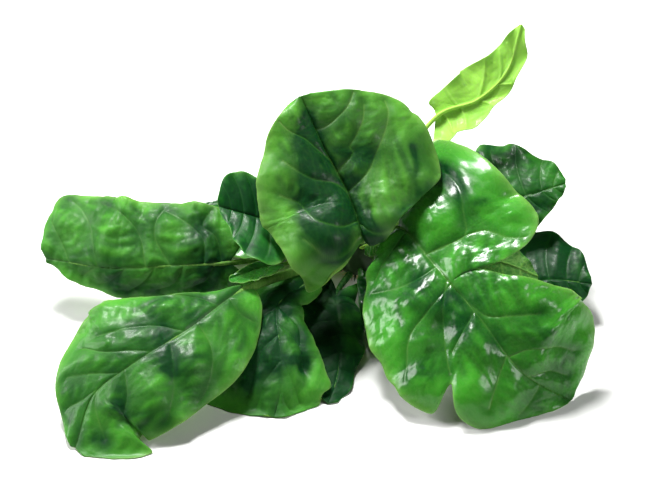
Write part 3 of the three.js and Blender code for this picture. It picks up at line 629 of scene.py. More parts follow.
class FlatBlade:
    """A blade laid out flat: millimetres along its midrib from the neck, and out from it."""

    def __init__(self, leaf, length, random):
        rows = leaf["rows"]
        if rows is None:
            rows = []
            for share, along, out in ORDINARY:
                end = (along * length, out * leaf["breadth"])
                rows.append((share, *end, *end))
        self.rows = np.array(rows, float)
        self.last = len(rows) - 1
        self.length = length
        if leaf["veins"] is None:
            self.side_veins = [
                [self.side_vein(half, row[0], i + VEIN_ROWS) for i, row in enumerate(rows[1:-1])]
                for half in (0, 1)
            ]
        else:
            self.side_veins = [[smooth(line) for line in half] for half in leaf["veins"]]
        self.fine_veins = [self.net(half, random) for half in (0, 1)]

    def start(self, row):
        """How far along the midrib a row starts."""
        return np.interp(row, np.arange(self.last + 1), self.rows[:, 0]) * self.length

    def margin(self, half, row):
        """Where a row meets the margin of a half."""
        return spline(self.rows[:, 1 + 2 * half : 3 + 2 * half], row)

    def side_vein(self, half, share, row):
        """An ordinary side vein, from a share of the midrib towards the margin at a row."""
        root = np.array([share * self.length, 0])
        end = root + (self.margin(half, [row])[0] - root) * VEIN_END
        return bowed(root, end, VEIN_BOW)

    def net(self, half, random):
        """Finer veins: links from one side vein to the next, and forks towards the margin."""
        veins = self.side_veins[half]
        ahead = veins[1:] + [np.linspace(veins[-1][0], (self.length * 0.97, 0), 9)]
        lines = []
        for vein, following in zip(veins, ahead):
            span = np.linalg.norm(vein[-1] - vein[0])
            links = max(2, round(span / LINK_SPACING))
            for j in range(links):
                share = (j + 0.7 + random.uniform(-0.2, 0.2)) / (links + 0.4)
                a = read(vein, min(share, 1))
                c = read(following, min(share * random.uniform(0.86, 1.0) + 0.02, 1))
                if np.linalg.norm(c - a) < SHORTEST_LINK:
                    continue
                line = bowed(a, c, random.uniform(-0.28, -0.1), 7)
                lines.append(line)
                if j + 1 < links:
                    d = read(vein if random.random() < 0.5 else following, min(share + 0.9 / links, 1))
                    lines.append(bowed(read(line, random.uniform(0.35, 0.65)), d, 0.1, 4))
            fork = vein[-1] + (following[-1] - vein[-1]) * 0.4
            lines.append(bowed(read(vein, 0.6), fork, 0.1, 7))
        return lines


def nearest(points, lines):
    """The distance from each point to the nearest of some lines."""
    a = np.concatenate([line[:-1] for line in lines])
    chord = np.concatenate([line[1:] for line in lines]) - a
    size = np.maximum((chord**2).sum(1), 1e-9)
    found = np.empty(len(points))
    for low in range(0, len(points), CHUNK):
        p = points[low : low + CHUNK, None]
        share = np.clip(((p - a) * chord).sum(2) / size, 0, 1)
        gap = p - a - share[..., None] * chord
        found[low : low + CHUNK] = np.sqrt((gap**2).sum(2).min(1))
    return found


def swell(points, length, count, random):
    """A smooth uneven field over flat points, about -1 to 1: the sum of waves of about one length."""
    total = np.zeros(len(points))
    for _ in range(count):
        angle = random.uniform(0, math.tau)
        reach = length * random.uniform(0.7, 1.5)
        phase = random.uniform(0, math.tau)
        total += np.sin((points @ [math.cos(angle), math.sin(angle)]) * math.tau / reach + phase)
    return total / math.sqrt(count)


class Blade:
    """A leaf's blade: a fine grid over the flat leaf, bent into place and given its relief."""

    def __init__(self, leaf, midrib, sizes, random):
        self.leaf, self.midrib, self.sizes = leaf, midrib, sizes
        self.flat = FlatBlade(leaf, midrib.length, random)
        rows, shares = self.grid(leaf["cell"])
        self.high, self.wide = len(rows), len(shares)
        row = np.repeat(rows, self.wide)
        share = np.tile(shares, self.high)
        self.out = np.abs(share)
        self.half = (share >= 0).astype(int)
        self.side = np.where(self.half, 1.0, -1.0)
        self.lay_out(row)
        self.raise_relief(row, random)
        self.bend()

    def grid(self, cell):
        """Row numbers, split by how far apart the rows lie, and shares across each row."""
        flat = self.flat
        row = [0.0]
        for i in range(flat.last):
            reach = max(
                np.linalg.norm(np.diff(flat.margin(half, [i, i + 1]), axis=0)) for half in (0, 1)
            )
            reach = max(reach, flat.start(i + 1) - flat.start(i))
            steps = max(2, math.ceil(reach / cell))
            row += list(i + np.arange(1, steps + 1) / steps)
        widest = max(self.leaf["breadth"], flat.rows[:, [2, 4]].max())
        across = np.linspace(0, 1, max(6, math.ceil(widest / cell)) + 1)
        return np.array(row), np.concatenate([-across[:0:-1], across])

    def lay_out(self, row):
        """Each vertex's place on the flat blade: along the midrib, and out from it."""
        flat = self.flat
        start = np.stack([flat.start(row), np.zeros(len(row))], 1)
        ends = np.where(self.half[:, None] == 1, flat.margin(1, row), flat.margin(0, row))
        self.place = start + (ends - start) * self.out[:, None]
        self.place[:, 1] = np.maximum(self.place[:, 1], 0)
        self.signed = self.place * np.stack([np.ones(len(row)), self.side], 1)

    def away(self, along, across, radius):
        """The square of each vertex's distance from a place on the flat blade, in radii."""
        return ((self.signed - (along, across)) ** 2).sum(1) / radius**2

    def raise_relief(self, row, random):
        """Swellings between the veins, grooves along them, and waves at the margin."""
        leaf, flat, out = self.leaf, self.flat, self.out
        side_gap = np.empty(len(out))
        fine_gap = np.empty(len(out))
        for half in (0, 1):
            on = self.half == half
            side_gap[on] = nearest(self.place[on], flat.side_veins[half])
            fine_gap[on] = nearest(self.place[on], flat.fine_veins[half])
        rib_gap = self.place[:, 1]
        gap = np.minimum(rib_gap, side_gap)
        turns = leaf["waves"] * row / flat.last + WAVE_SHIFT * self.half
        wave = leaf["wave"] * out**3 * np.sin(math.tau * turns)
        rounded = np.sqrt(gap**2 + PUFF_ROUND) - math.sqrt(PUFF_ROUND)
        swelling = leaf["puff"] * (1 - np.exp(-rounded / PUFF_WIDTH)) * (1 - out**6)
        height = leaf["puff"] / USUAL_PUFF / MM
        blister = 1 - np.exp(-((np.minimum(gap, fine_gap) / BLISTER_WIDTH) ** 2))
        free = between((0.35, 1), np.clip(gap / FREE_WIDTH, 0, 1))
        self.relief = swelling + wave
        for along, across, radius, rise in leaf["bumps"]:
            self.relief += rise * np.exp(-self.away(along, across, radius))
        self.relief += self.sizes.blister * height * blister * (1 - out**8)
        for length, part, count in RIPPLES:
            uneven = swell(self.signed, length, count, random)
            self.relief += self.sizes.ripple * height * part * free * uneven
        taper = np.clip(self.place[:, 0] / flat.length, 0, 1)
        rib = np.exp(-((rib_gap / between(RIB_GROOVE, taper)) ** 2))
        lateral = np.exp(-((side_gap / between(VEIN_GROOVE, out)) ** 2))
        fine = np.exp(-((fine_gap / FINE_WIDTH) ** 2)) * (1 - 0.5 * out)
        self.relief -= self.sizes.groove / MM * np.maximum(rib, lateral * SIDE_DEPTH)
        plainest = np.maximum(rib * SHOW[0], np.maximum(lateral * SHOW[1], fine * SHOW[2]))
        self.vein = plainest * leaf["show"]
        self.ridge = (RIDGES[0] * lateral + RIDGES[1] * fine) * leaf["show"]
        # Painted light and shade: blister tops are painted lighter, and the blade near the veins darker, as
        # shade in the grooves.
        self.painted_crest_shading = blister * np.clip(gap / CREST_SHADING_WIDTH, 0, 1)
        self.tone = np.full(len(out), float(leaf["tone"]))
        # Spots paint shade and highlights into the green: darker where a part lies in shadow, lighter on lit
        # bulges and ridges.
        for along, across, radius, change in leaf["spots"]:
            self.tone += change * np.exp(-(self.away(along, across, radius) ** 1.5))

    def bend(self):
        """The middle of the blade in space: folded and curled on its midrib, and draped on the table."""
        leaf, along, across = self.leaf, self.place[:, 0], self.place[:, 1]
        centre, _, normal, right = self.midrib.at(along, self.midrib.first)
        share = np.clip(along / self.midrib.length, 0, 1)
        fold = np.zeros(len(along))
        curl = np.zeros(len(along))
        for half in (0, 1):
            on = self.half == half
            fold[on] = np.radians(between(leaf["fold"][half], share[on]))
            curl[on] = math.radians(leaf["curl"][half] or 0.01) / leaf["breadth"]
        slope = fold + curl * across
        flatways = (np.sin(slope) - np.sin(fold)) / curl
        lift = (np.cos(fold) - np.cos(slope)) / curl
        sideways = self.side * (flatways - self.relief * np.sin(slope))
        upward = lift + self.relief * np.cos(slope)
        self.middle = centre + right * sideways[:, None] + normal * upward[:, None]
        self.middle[:, 2] = drape(self.middle[:, 2], self.sizes.blade / MM / 2)

    def skin(self):
        """Vertices, quads and values of the closed blade: upper side, underside and a round rim."""
        high, wide = self.high, self.wide
        grid = self.middle.reshape(high, wide, 3)
        down = np.gradient(grid, axis=0)
        across = np.gradient(grid, axis=1)
        normal = unit(np.cross(across, down) + 1e-12).reshape(-1, 3)
        upward = self.midrib.at(self.place[:, 0], self.midrib.first)[2]
        normal *= np.sign((normal * upward).sum(1).mean())
        half_thick = self.sizes.blade / MM / 2 * (1 - MARGIN_THINNING * self.out**4)[:, None]
        upper = self.middle + normal * half_thick
        lower = self.middle - normal * (half_thick + self.ridge[:, None])
        count = high * wide
        index = np.arange(count).reshape(high, wide)
        quads = np.stack([index[:-1, :-1], index[:-1, 1:], index[1:, 1:], index[1:, :-1]], -1).reshape(-1, 4)
        edge = np.concatenate([index[0, :-1], index[:-1, -1], index[-1, :0:-1], index[:0:-1, 0]])
        inside = index[np.clip(edge // wide, 1, high - 2), np.clip(edge % wide, 1, wide - 2)]
        outward = unit(self.middle[edge] - self.middle[inside] + 1e-9)
        rim = self.middle[edge] + outward * half_thick[edge]
        n = len(edge)
        ring = np.arange(n) + 2 * count
        following = np.roll(np.arange(n), -1)
        top_strip = np.stack([edge, ring, ring[following], edge[following]], 1)
        low_edge = edge + count
        low_strip = np.stack([ring, low_edge, low_edge[following], ring[following]], 1)
        faces = np.concatenate([quads, quads[:, ::-1] + count, top_strip, low_strip])
        vertices = np.concatenate([upper, lower, rim])
        vertices[:, 2] = np.maximum(vertices[:, 2], 0)

        def spread(values):
            return np.concatenate([values, values, values[edge]])

        under = np.concatenate([np.zeros(count), np.ones(count), np.full(n, 0.5)])
        values = {key: spread(getattr(self, key)) for key in ("vein", "painted_crest_shading", "tone")}
        # The pale margin is painted light on the thin leaf edge.
        values["edge"] = spread(self.out**MARGIN_SHARPNESS) * self.leaf["rim"]
        values["under"] = under
        values["stalk"] = np.zeros(len(vertices))
        for key in ("dull", "olive"):
            values[key] = np.full(len(vertices), float(self.leaf[key]))
        flat = spread(np.column_stack([self.signed, np.zeros(count)]))
        flat[:, 2] = under * UNDERSIDE_SHIFT
        return vertices, faces, values, flat * MM


def geometry_tree(name, inputs):
    """A new geometry tree with named inputs, and the sockets that hand them on inside it."""
    tree = bpy.data.node_groups.new(name, "GeometryNodeTree")
    tree.interface.new_socket("Geometry", in_out="OUTPUT", socket_type="NodeSocketGeometry")
    for label, kind, value in (("Geometry", "Geometry", None), *inputs, ("Material", "Material", None)):
        socket = tree.interface.new_socket(label, in_out="INPUT", socket_type="NodeSocket" + kind)
        if value is not None:
            socket.default_value = value
    return tree, tree.nodes.new("NodeGroupInput").outputs


def close_tree(tree, geometry, material):
    """Ends a geometry tree: its instances made real, and its material set."""
    real = node(tree, "GeometryNodeRealizeInstances", {0: geometry})
    done = node(tree, "GeometryNodeSetMaterial", {"Geometry": real.outputs[0], "Material": material})
    node(tree, "NodeGroupOutput", {0: done.outputs[0]})


def node(tree, kind, inputs=None, **settings):
    """Adds a node with its settings, and gives its inputs values or links. Colours have three parts."""
    made = tree.nodes.new(kind)
    for key, value in settings.items():
        setattr(made, key, value)
    for key, value in (inputs or {}).items():
        socket = made.inputs[key]
        if isinstance(value, bpy.types.NodeSocket):
            tree.links.new(value, socket)
        else:
            socket.default_value = (*value, 1) if socket.type == "RGBA" else value
    return made


def stalk_tree():
    """Sweeps a channelled stalk along a path whose points carry its radius and its upper side."""
    sizes = (("Sides", "Int", 14), ("Channel depth", "Float", 0.45), ("Flatness", "Float", 0.85))
    tree, given = geometry_tree("Stalk along a midrib", sizes)
    radius = node(tree, "GeometryNodeInputNamedAttribute", {"Name": "radius"}, data_type="FLOAT")
    upward = node(tree, "GeometryNodeInputNamedAttribute", {"Name": "upward"}, data_type="FLOAT_VECTOR")
    curve = node(tree, "GeometryNodeMeshToCurve", {"Mesh": given["Geometry"]})
    sized = node(
        tree,
        "GeometryNodeSetCurveRadius",
        {"Curve": curve.outputs[0], "Radius": radius.outputs["Attribute"]},
    )
    turned = node(
        tree,
        "GeometryNodeSetCurveNormal",
        {"Curve": sized.outputs[0], "Normal": upward.outputs["Attribute"]},
        mode="FREE",
    )
    circle = node(tree, "GeometryNodeCurvePrimitiveCircle", {"Resolution": given["Sides"], "Radius": 1.0})
    place = node(tree, "GeometryNodeInputPosition")
    split = node(tree, "ShaderNodeSeparateXYZ", {0: place.outputs[0]})
    # The channel: the upper part of the circle is lowered by exp(-5 x^2) times the depth and its height.
    made = {"x": split.outputs[0], "y": split.outputs[1]}
    for key, operation, first, second in (
        ("square", "MULTIPLY", "x", "x"),
        ("fall", "MULTIPLY", "square", -5.0),
        ("hollow", "EXPONENT", "fall", 0.0),
        ("upper", "MAXIMUM", "y", 0.0),
        ("depth", "MULTIPLY", "upper", given["Channel depth"]),
        ("dent", "MULTIPLY", "hollow", "depth"),
        ("flatter", "MULTIPLY", "y", given["Flatness"]),
        ("dented", "SUBTRACT", "flatter", "dent"),
    ):
        ends = {0: made[first], 1: made.get(second, second)}
        made[key] = node(tree, "ShaderNodeMath", ends, operation=operation).outputs[0]
    joined = node(tree, "ShaderNodeCombineXYZ", {0: made["x"], 1: made["dented"]})
    profile = node(
        tree,
        "GeometryNodeSetPosition",
        {"Geometry": circle.outputs[0], "Position": joined.outputs[0]},
    )
    swept = node(
        tree,
        "GeometryNodeCurveToMesh",
        {
            "Curve": turned.outputs[0],
            "Profile Curve": profile.outputs[0],
            "Scale": radius.outputs["Attribute"],
            "Fill Caps": True,
        },
    )
    close_tree(tree, swept.outputs[0], given["Material"])
    return tree


def grown(mesh, tree, inputs):
    """The plain mesh that a geometry tree makes of a mesh, with the tree's named inputs set."""
    carrier = bpy.data.objects.new("carrier", mesh)
    bpy.context.collection.objects.link(carrier)
    modifier = carrier.modifiers.new("Tree", "NODES")
    modifier.node_group = tree
    for item in tree.interface.items_tree:
        if item.item_type == "SOCKET" and item.name in inputs:
            modifier[item.identifier] = inputs[item.name]
    bpy.context.view_layer.update()
    evaluated = carrier.evaluated_get(bpy.context.evaluated_depsgraph_get())
    plain = bpy.data.meshes.new_from_object(evaluated)
    carrier.modifiers.remove(modifier)
    bpy.data.objects.remove(carrier)
    return plain


def arrays(mesh):
    """A mesh's vertices and its faces, as an array and a list."""
    vertices = np.empty(len(mesh.vertices) * 3)
    mesh.vertices.foreach_get("co", vertices)
    return vertices.reshape(-1, 3), [list(face.vertices) for face in mesh.polygons]


def stalk_skin(leaf, midrib, tree, material):
    """The stalk and the rib under the blade, and the midrib's places that they are swept along."""
    end = midrib.length * RIB_END
    along = np.linspace(midrib.start, end, math.ceil((end - midrib.start) / STALK_STEP) + 1)
    place, _, normal, _ = midrib.at(along)
    neck_radius = leaf["stalk"] * NECK_SHARE
    below = np.interp(along, [midrib.start, 0], [leaf["stalk"] / 2, neck_radius])
    blade = np.clip(along / end, 0, 1)
    radius = np.where(along < 0, below, neck_radius + (RIB_END_RADIUS - neck_radius) * blade**0.7)
    # From 4 mm before the neck to 8 mm past it, the stalk sinks until it lies under the blade.
    sink = np.interp(along, [-4, 8], [0.55, 1.0])
    centre = place - normal * (radius * sink)[:, None]
    centre[:, 2] = drape(centre[:, 2], radius)
    path = bpy.data.meshes.new("path")
    path.from_pydata((centre + BENCH) * MM, [(i, i + 1) for i in range(len(along) - 1)], [])
    path.attributes.new("radius", "FLOAT", "POINT").data.foreach_set("value", radius * MM)
    path.attributes.new("upward", "FLOAT_VECTOR", "POINT").data.foreach_set("vector", normal.ravel())
    vertices, faces = arrays(grown(path, tree, {"Material": material}))
    return vertices / MM - BENCH, faces, place, along


def leaf_piece(name, tree, material, sizes):
    """One leaf, blade and stalk in one mesh, in place of its CAD node."""
    leaf = {**COMMON, **LEAVES[name]}
    random = np.random.default_rng(sum(map(ord, name)))
    midrib = Midrib(leaf)
    vertices, faces, values, flat = Blade(leaf, midrib, sizes, random).skin()
    rod, rod_faces, places, along = stalk_skin(leaf, midrib, tree, material)
    closest = ((rod[:, None] - places) ** 2).sum(2).argmin(1)
    base, count = len(vertices), len(rod)
    rod_flat = np.column_stack([along[closest], (rod - places[closest])[:, :2]]) * MM
    offset = [[corner + base for corner in face] for face in rod_faces]
    mesh = bpy.data.meshes.new(name)
    mesh.from_pydata((np.concatenate([vertices, rod]) + BENCH) * MM, [], faces.tolist() + offset)
    fade = np.clip(1 - along[closest] / (midrib.length * 0.9), 0, 1)
    rod_values = dict(
        vein=0, painted_crest_shading=0, edge=0, under=1, dull=1,
        olive=leaf["olive"],
        # A low pale keeps a stalk dark: painted shade on stalks that lie in shadow.
        tone=leaf["tone"] * leaf["pale"],
        stalk=leaf["pale"] * (0.6 + 0.4 * fade),
    )
    for key, value in values.items():
        whole = np.concatenate([value, np.broadcast_to(rod_values[key], count)])
        mesh.attributes.new(key, "FLOAT", "POINT").data.foreach_set("value", whole)
    place = np.concatenate([flat, rod_flat]).ravel()
    mesh.attributes.new("flat", "FLOAT_VECTOR", "POINT").data.foreach_set("vector", place)
    mesh.materials.append(material)
    mesh.shade_smooth()
    piece = bpy.data.objects.new(name + "_fine", mesh)
    bpy.context.collection.objects.link(piece)
    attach(piece, "root")
    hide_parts(name)
    return piece


def linear(hex_colour):
    """An sRGB hex colour as the linear colour that Blender's sockets take."""
    channels = [int(hex_colour[i : i + 2], 16) / 255 for i in (1, 3, 5)]
    return tuple(c / 12.92 if c <= 0.04045 else ((c + 0.055) / 1.055) ** 2.4 for c in channels)


def per(millimetres):
    """A pattern's scale on metres, for a real size."""
    return 1 / (millimetres * MM)


def new_material(name):
    """A material with an empty node tree."""
    material = bpy.data.materials.new(name)
    material.use_nodes = True
    material.node_tree.nodes.clear()
    return material, material.node_tree


def waxy_leaf(name, colours):
    """A living leaf: cuticle wax gives the upper side crisp highlights, and the underside is dull."""
    material, tree = new_material(name)
    made = {}
    for key in ("vein", "under", "tone", "painted_crest_shading", "olive", "stalk", "edge", "dull"):
        made[key] = node(tree, "ShaderNodeAttribute", attribute_name=key).outputs["Fac"]
    flat = node(tree, "ShaderNodeAttribute", attribute_name="flat").outputs["Vector"]
    # Patches in the green, speckles in the gloss, and the grain of the cuticle, which is really finer
    # than a pixel and is drawn over a millimetre wide.
    for key, size, detail in (("patch", 22, 2.0), ("speckle", 3.5, 4.0), ("grain", 1.2, 2.0)):
        noise = {"Vector": flat, "Scale": per(size), "Detail": detail}
        made[key] = node(tree, "ShaderNodeTexNoise", noise).outputs["Fac"]
    # Areoles: the finest net of veins, whose cells are about 2 mm wide.
    cells = node(
        tree,
        "ShaderNodeTexVoronoi",
        {"Vector": flat, "Scale": per(2.2), "Randomness": 1.0},
        feature="DISTANCE_TO_EDGE",
    ).outputs["Distance"]
    made["net"] = node(
        tree,
        "ShaderNodeMapRange",
        {"Value": cells, "From Min": 0.0, "From Max": 0.16, "To Min": 1.0, "To Max": 0.0},
    ).outputs["Result"]
    # Each value is an earlier one times a number, plus a number or another earlier one.
    for key, source, factor, plus in (
        # The tone attribute carries each leaf's green together with its painted shade and painted
        # highlights.
        ("cloud", "patch", 1.4, -0.7),
        ("clouded tone", "tone", 1.0, "cloud"),
        # Painted light on the blister tops and painted shade near the veins.
        ("lighter crest", "painted_crest_shading", 0.55, -0.25),
        ("level", "clouded tone", 1.0, "lighter crest"),
        ("net above", "net", 0.06, 0.0),
        ("veins above", "vein", 0.75, 0.0),
        ("net below", "net", 0.25, 0.0),
        ("cloud below", "cloud", 0.5, 0.1),
        ("veins below", "vein", 0.5, 0.0),
        ("speckled gloss", "speckle", 0.2, colours.roughness - 0.1),
        ("gloss of both sides", "under", 0.22, "speckled gloss"),
        ("roughness", "dull", 0.3, "gloss of both sides"),
        ("specular", "dull", -0.12, 0.27),
        ("coat", "dull", -0.1, 0.1),
    ):
        terms = {0: made[source], 1: factor, 2: made.get(plus, plus)}
        made[key] = node(tree, "ShaderNodeMath", terms, operation="MULTIPLY_ADD").outputs[0]
    # Each colour is a mix: the share of the second, the first and the second.
    for key, share, first, second in (
        ("light green", "olive", colours.fresh, colours.olive),
        ("green", "level", colours.deep, "light green"),
        ("middle green", 0.5, colours.deep, "light green"),
        ("pale green", "level", "middle green", colours.vein),
        ("netted green", "net above", "green", "pale green"),
        ("upper side", "veins above", "netted green", "pale green"),
        ("back", "tone", colours.underside_deep, colours.underside),
        ("netted back", "net below", "back", colours.vein),
        ("clouded back", "cloud below", "netted back", colours.fresh),
        ("underside", "veins below", "clouded back", colours.rib),
        ("blade", "under", "upper side", "underside"),
        ("leaf", "stalk", "blade", colours.rib),
        # The pale margin is painted light.
        ("leaf and margin", "edge", "leaf", "pale green"),
    ):
        first, second = (made[end] if isinstance(end, str) else end for end in (first, second))
        ends = {0: made.get(share, share), 6: first, 7: second}
        made[key] = node(tree, "ShaderNodeMix", ends, data_type="RGBA").outputs[2]
    grained = node(tree, "ShaderNodeBump", {"Strength": 0.15, "Distance": 0.0003, "Height": made["grain"]})
    dented = node(
        tree,
        "ShaderNodeBump",
        {"Strength": 0.3, "Distance": 0.0002, "Height": cells, "Normal": grained.outputs[0]},
    )
    shader = node(
        tree,
        "ShaderNodeBsdfPrincipled",
        {
            "Base Color": made["leaf and margin"],
            "Roughness": made["roughness"],
            "IOR": 1.4,
            "Specular IOR Level": made["specular"],
            "Normal": dented.outputs[0],
            "Subsurface Weight": 0.2,
            "Subsurface Radius": (0.5, 1.0, 0.12),
            "Subsurface Scale": 0.002,
            "Coat Weight": made["coat"],
            "Coat Roughness": 0.15,
        },
    )
    node(tree, "ShaderNodeOutputMaterial", {"Surface": shader.outputs[0]})
    return material


def root_skin(colours):
    """Washed root skin: pale, dull and finely wrinkled, and dark green where the stalks are seated, a green
    darkened as painted shade.
    """
    material, tree = new_material("Spinach root skin")
    place = node(tree, "ShaderNodeTexCoord").outputs["Object"]
    patch = node(tree, "ShaderNodeTexNoise", {"Vector": place, "Scale": per(4), "Detail": 4.0})
    seated = node(tree, "ShaderNodeAttribute", attribute_name="seated")
    ends = {0: patch.outputs["Fac"], 6: colours.root, 7: colours.root_dark}
    colour = node(tree, "ShaderNodeMix", ends, data_type="RGBA").outputs[2]
    # The top of the crown takes the heart colour: the stalks' green, darkened as painted shade in the
    # hollow.
    ends = {0: seated.outputs["Fac"], 6: colour, 7: colours.heart}
    colour = node(tree, "ShaderNodeMix", ends, data_type="RGBA").outputs[2]
    wrinkle = node(tree, "ShaderNodeTexNoise", {"Vector": place, "Scale": per(1.0), "Detail": 3.0})
    bump = node(
        tree,
        "ShaderNodeBump",
        {"Strength": 0.4, "Distance": 0.0004, "Height": wrinkle.outputs["Fac"]},
    )
    shader = node(
        tree,
        "ShaderNodeBsdfPrincipled",
        {"Base Color": colour, "Roughness": 0.6, "IOR": 1.4, "Normal": bump.outputs[0]},
    )
    node(tree, "ShaderNodeOutputMaterial", {"Surface": shader.outputs[0]})
    return material


def matte_table(colours):
    """Pale painted board: quite dull, with a faint unevenness that keeps its shade from looking flat."""
    material, tree = new_material("Matte painted board")
    place = node(tree, "ShaderNodeTexCoord").outputs["Object"]
    patch = node(tree, "ShaderNodeTexNoise", {"Vector": place, "Scale": per(150), "Detail": 3.0})
    faint = node(tree, "ShaderNodeMath", {0: patch.outputs["Fac"], 1: 0.3}, operation="MULTIPLY")
    ends = {0: faint.outputs[0], 6: colours.table, 7: colours.table_patch}
    colour = node(tree, "ShaderNodeMix", ends, data_type="RGBA").outputs[2]
    shader = node(tree, "ShaderNodeBsdfPrincipled", {"Base Color": colour, "Roughness": 0.75, "IOR": 1.45})
    node(tree, "ShaderNodeOutputMaterial", {"Surface": shader.outputs[0]})
    return material


def colour_property(name, description, hex_colour):
    """A colour that the user can change, from its sRGB hex value."""
    return FloatVectorProperty(
        name=name, description=description, default=linear(hex_colour), subtype="COLOR", size=3, min=0, max=1
    )


class SpinachSizes(bpy.types.PropertyGroup):
    """Sizes of the fine relief, which the leaves' own forms carry."""

    blade: FloatProperty(
        name="Blade thickness",
        description="Thickness of a blade away from its margin",
        default=0.0007,
        unit="LENGTH",
        precision=4,
    )
    blister: FloatProperty(
        name="Blister height",
        description="How far the blade rises between the finer veins",
        default=0.00022,
        unit="LENGTH",
        precision=5,
    )
    ripple: FloatProperty(
        name="Ripple height",
        description="Height of the slow unevenness of a blade",
        default=0.0006,
        unit="LENGTH",
        precision=5,
    )
    groove: FloatProperty(
        name="Groove depth",
        description="How deep the midrib and the side veins are sunk in the upper side",
        default=0.0004,
        unit="LENGTH",
        precision=5,
    )
    rootlets: FloatProperty(
        name="Rootlets",
        description="Fine roots left on each square millimetre of the bare stub",
        default=0.06,
        min=0,
    )


class SpinachColours(bpy.types.PropertyGroup):
    """Colours of the leaves, the root and the table."""

    # Deep green and fresh green are also the ends that the painted shade and the painted light of tones and
    # spots reach.
    deep: colour_property("Deep green", "Leaf in its darker patches", "#053212")
    fresh: colour_property("Fresh green", "Leaf in its lighter patches", "#22831c")
    olive: colour_property("Olive green", "Lighter patches of a leaf past its youth", "#4e862b")
    vein: colour_property("Vein", "Veins in the upper side", "#84a35a")
    underside: colour_property("Underside", "Dull back of a young leaf", "#86ba42")
    underside_deep: colour_property("Underside, dark", "Dull back of a grown leaf", "#1f5224")
    rib: colour_property("Stalk", "Stalk and rib", "#9cc653")
    root: colour_property("Root", "Washed root skin", "#d9cfae")
    root_dark: colour_property("Root, dark", "Creases of the root", "#a8906a")
    # Heart: the stalks' own green, darkened as painted shade in the hollow where they meet.
    heart: colour_property("Heart", "Crown where the stalks are seated", "#24401a")
    table: colour_property("Table", "Board under the bunch", "#e6e6e4")
    table_patch: colour_property("Table, patches", "Faint patches of the board", "#dededc")
    roughness: FloatProperty(
        name="Gloss", description="Roughness of the waxy upper side", default=0.27, min=0.05, max=1
    )


def crown_tree():
    """Scatters fine roots over the stub, standing out of its skin."""
    sizes = (
        ("Density", "Float", 60000.0),
        ("Seed", "Int", 3),
        ("Length", "Float", 0.004),
        ("Radius", "Float", 0.0005),
    )
    tree, given = geometry_tree("Rootlets on a stub", sizes)
    bare = node(tree, "GeometryNodeInputNamedAttribute", {"Name": "bare"}, data_type="FLOAT")
    spots = node(
        tree,
        "GeometryNodeDistributePointsOnFaces",
        {
            "Mesh": given["Geometry"],
            "Selection": bare.outputs["Attribute"],
            "Density": given["Density"],
            "Seed": given["Seed"],
        },
    )
    cone = node(
        tree,
        "GeometryNodeMeshCone",
        {
            "Vertices": 7,
            "Side Segments": 3,
            "Radius Top": 0.0001,
            "Radius Bottom": given["Radius"],
            "Depth": given["Length"],
        },
    )
    size = node(
        tree,
        "FunctionNodeRandomValue",
        {"Min": (0.6, 0.6, 0.3), "Max": (1.1, 1.1, 1.2), "Seed": given["Seed"]},
        data_type="FLOAT_VECTOR",
    )
    placed = node(
        tree,
        "GeometryNodeInstanceOnPoints",
        {
            "Points": spots.outputs["Points"],
            "Instance": cone.outputs["Mesh"],
            "Rotation": spots.outputs["Rotation"],
            "Scale": size.outputs["Value"],
        },
    )
    both = node(tree, "GeometryNodeJoinGeometry", {0: placed.outputs[0]})
    tree.links.new(given["Geometry"], both.inputs[0])
    close_tree(tree, both.outputs[0], given["Material"])
    return tree


def stub_mesh():
    """The crown: a tapering stub turned round the plant's axis, with shallow ridges down its sides."""
    length = (CROWN_HEIGHT - CUT_RADIUS * math.sin(CROWN_LEAN)) / math.cos(CROWN_LEAN)
    profile = [
        (0, -length),
        (CUT_RADIUS * 0.6, -length),
        (CUT_RADIUS, -length + 0.1),
        (CUT_RADIUS + 1, -length * 0.6),
        (CROWN_RADIUS, -10),
        (CROWN_RADIUS, -5),
        (6, 1),
        (3.5, 5),
        (0, 7),
    ]
    rings = spline(profile, np.linspace(0, len(profile) - 1, 65))
    rings[:, 0] = np.maximum(rings[:, 0], 0)
    around = 48
    bearing = np.arange(around) * 360 / around
    vertices, bare, seated = [], [], []
    for radius, up in rings[1:-1]:
        low = np.clip((-8 - up) / 6, 0, 1)
        ridges = 1 + 0.03 * np.sin(np.radians(bearing * 9) + up * 0.3)
        vertices.append(crown_place(np.full(around, up), radius * ridges, bearing))
        bare += [low] * around
        seated += [np.clip((up + 16) / 5, 0, 1)] * around
    count = len(vertices)
    vertices = [*np.concatenate(vertices), crown_place(-length, 0, 0), crown_place(7.0, 0, 0)]
    faces = []
    for i in range(count - 1):
        for j in range(around):
            k = (j + 1) % around
            faces.append((i * around + j, i * around + k, (i + 1) * around + k, (i + 1) * around + j))
    for j in range(around):
        k = (j + 1) % around
        faces.append((count * around, k, j))
        faces.append((count * around + 1, (count - 1) * around + j, (count - 1) * around + k))
    mesh = bpy.data.meshes.new("stub")
    placed = (np.array(vertices) + BENCH) * MM
    placed[:, 2] = np.maximum(placed[:, 2], 0)
    mesh.from_pydata(placed, [], faces)
    mesh.attributes.new("bare", "FLOAT", "POINT").data.foreach_set("value", bare + [0.0, 0.0])
    mesh.attributes.new("seated", "FLOAT", "POINT").data.foreach_set("value", seated + [0.0, 1.0])
    return mesh


class SPINACH_OT_leaves(bpy.types.Operator):
    """Build the spread leaves, each with its blade, veins and stalk"""

    bl_idname = "spinach.leaves"
    bl_label = "Build leaves"

    def execute(self, context):
        scene = context.scene
        material = waxy_leaf("Spinach leaf with waxy cuticle", scene.spinach_colours)
        tree = stalk_tree()
        for name in LEAVES:
            if not name.startswith("heart"):
                leaf_piece(name, tree, material, scene.spinach_sizes)
        return {"FINISHED"}


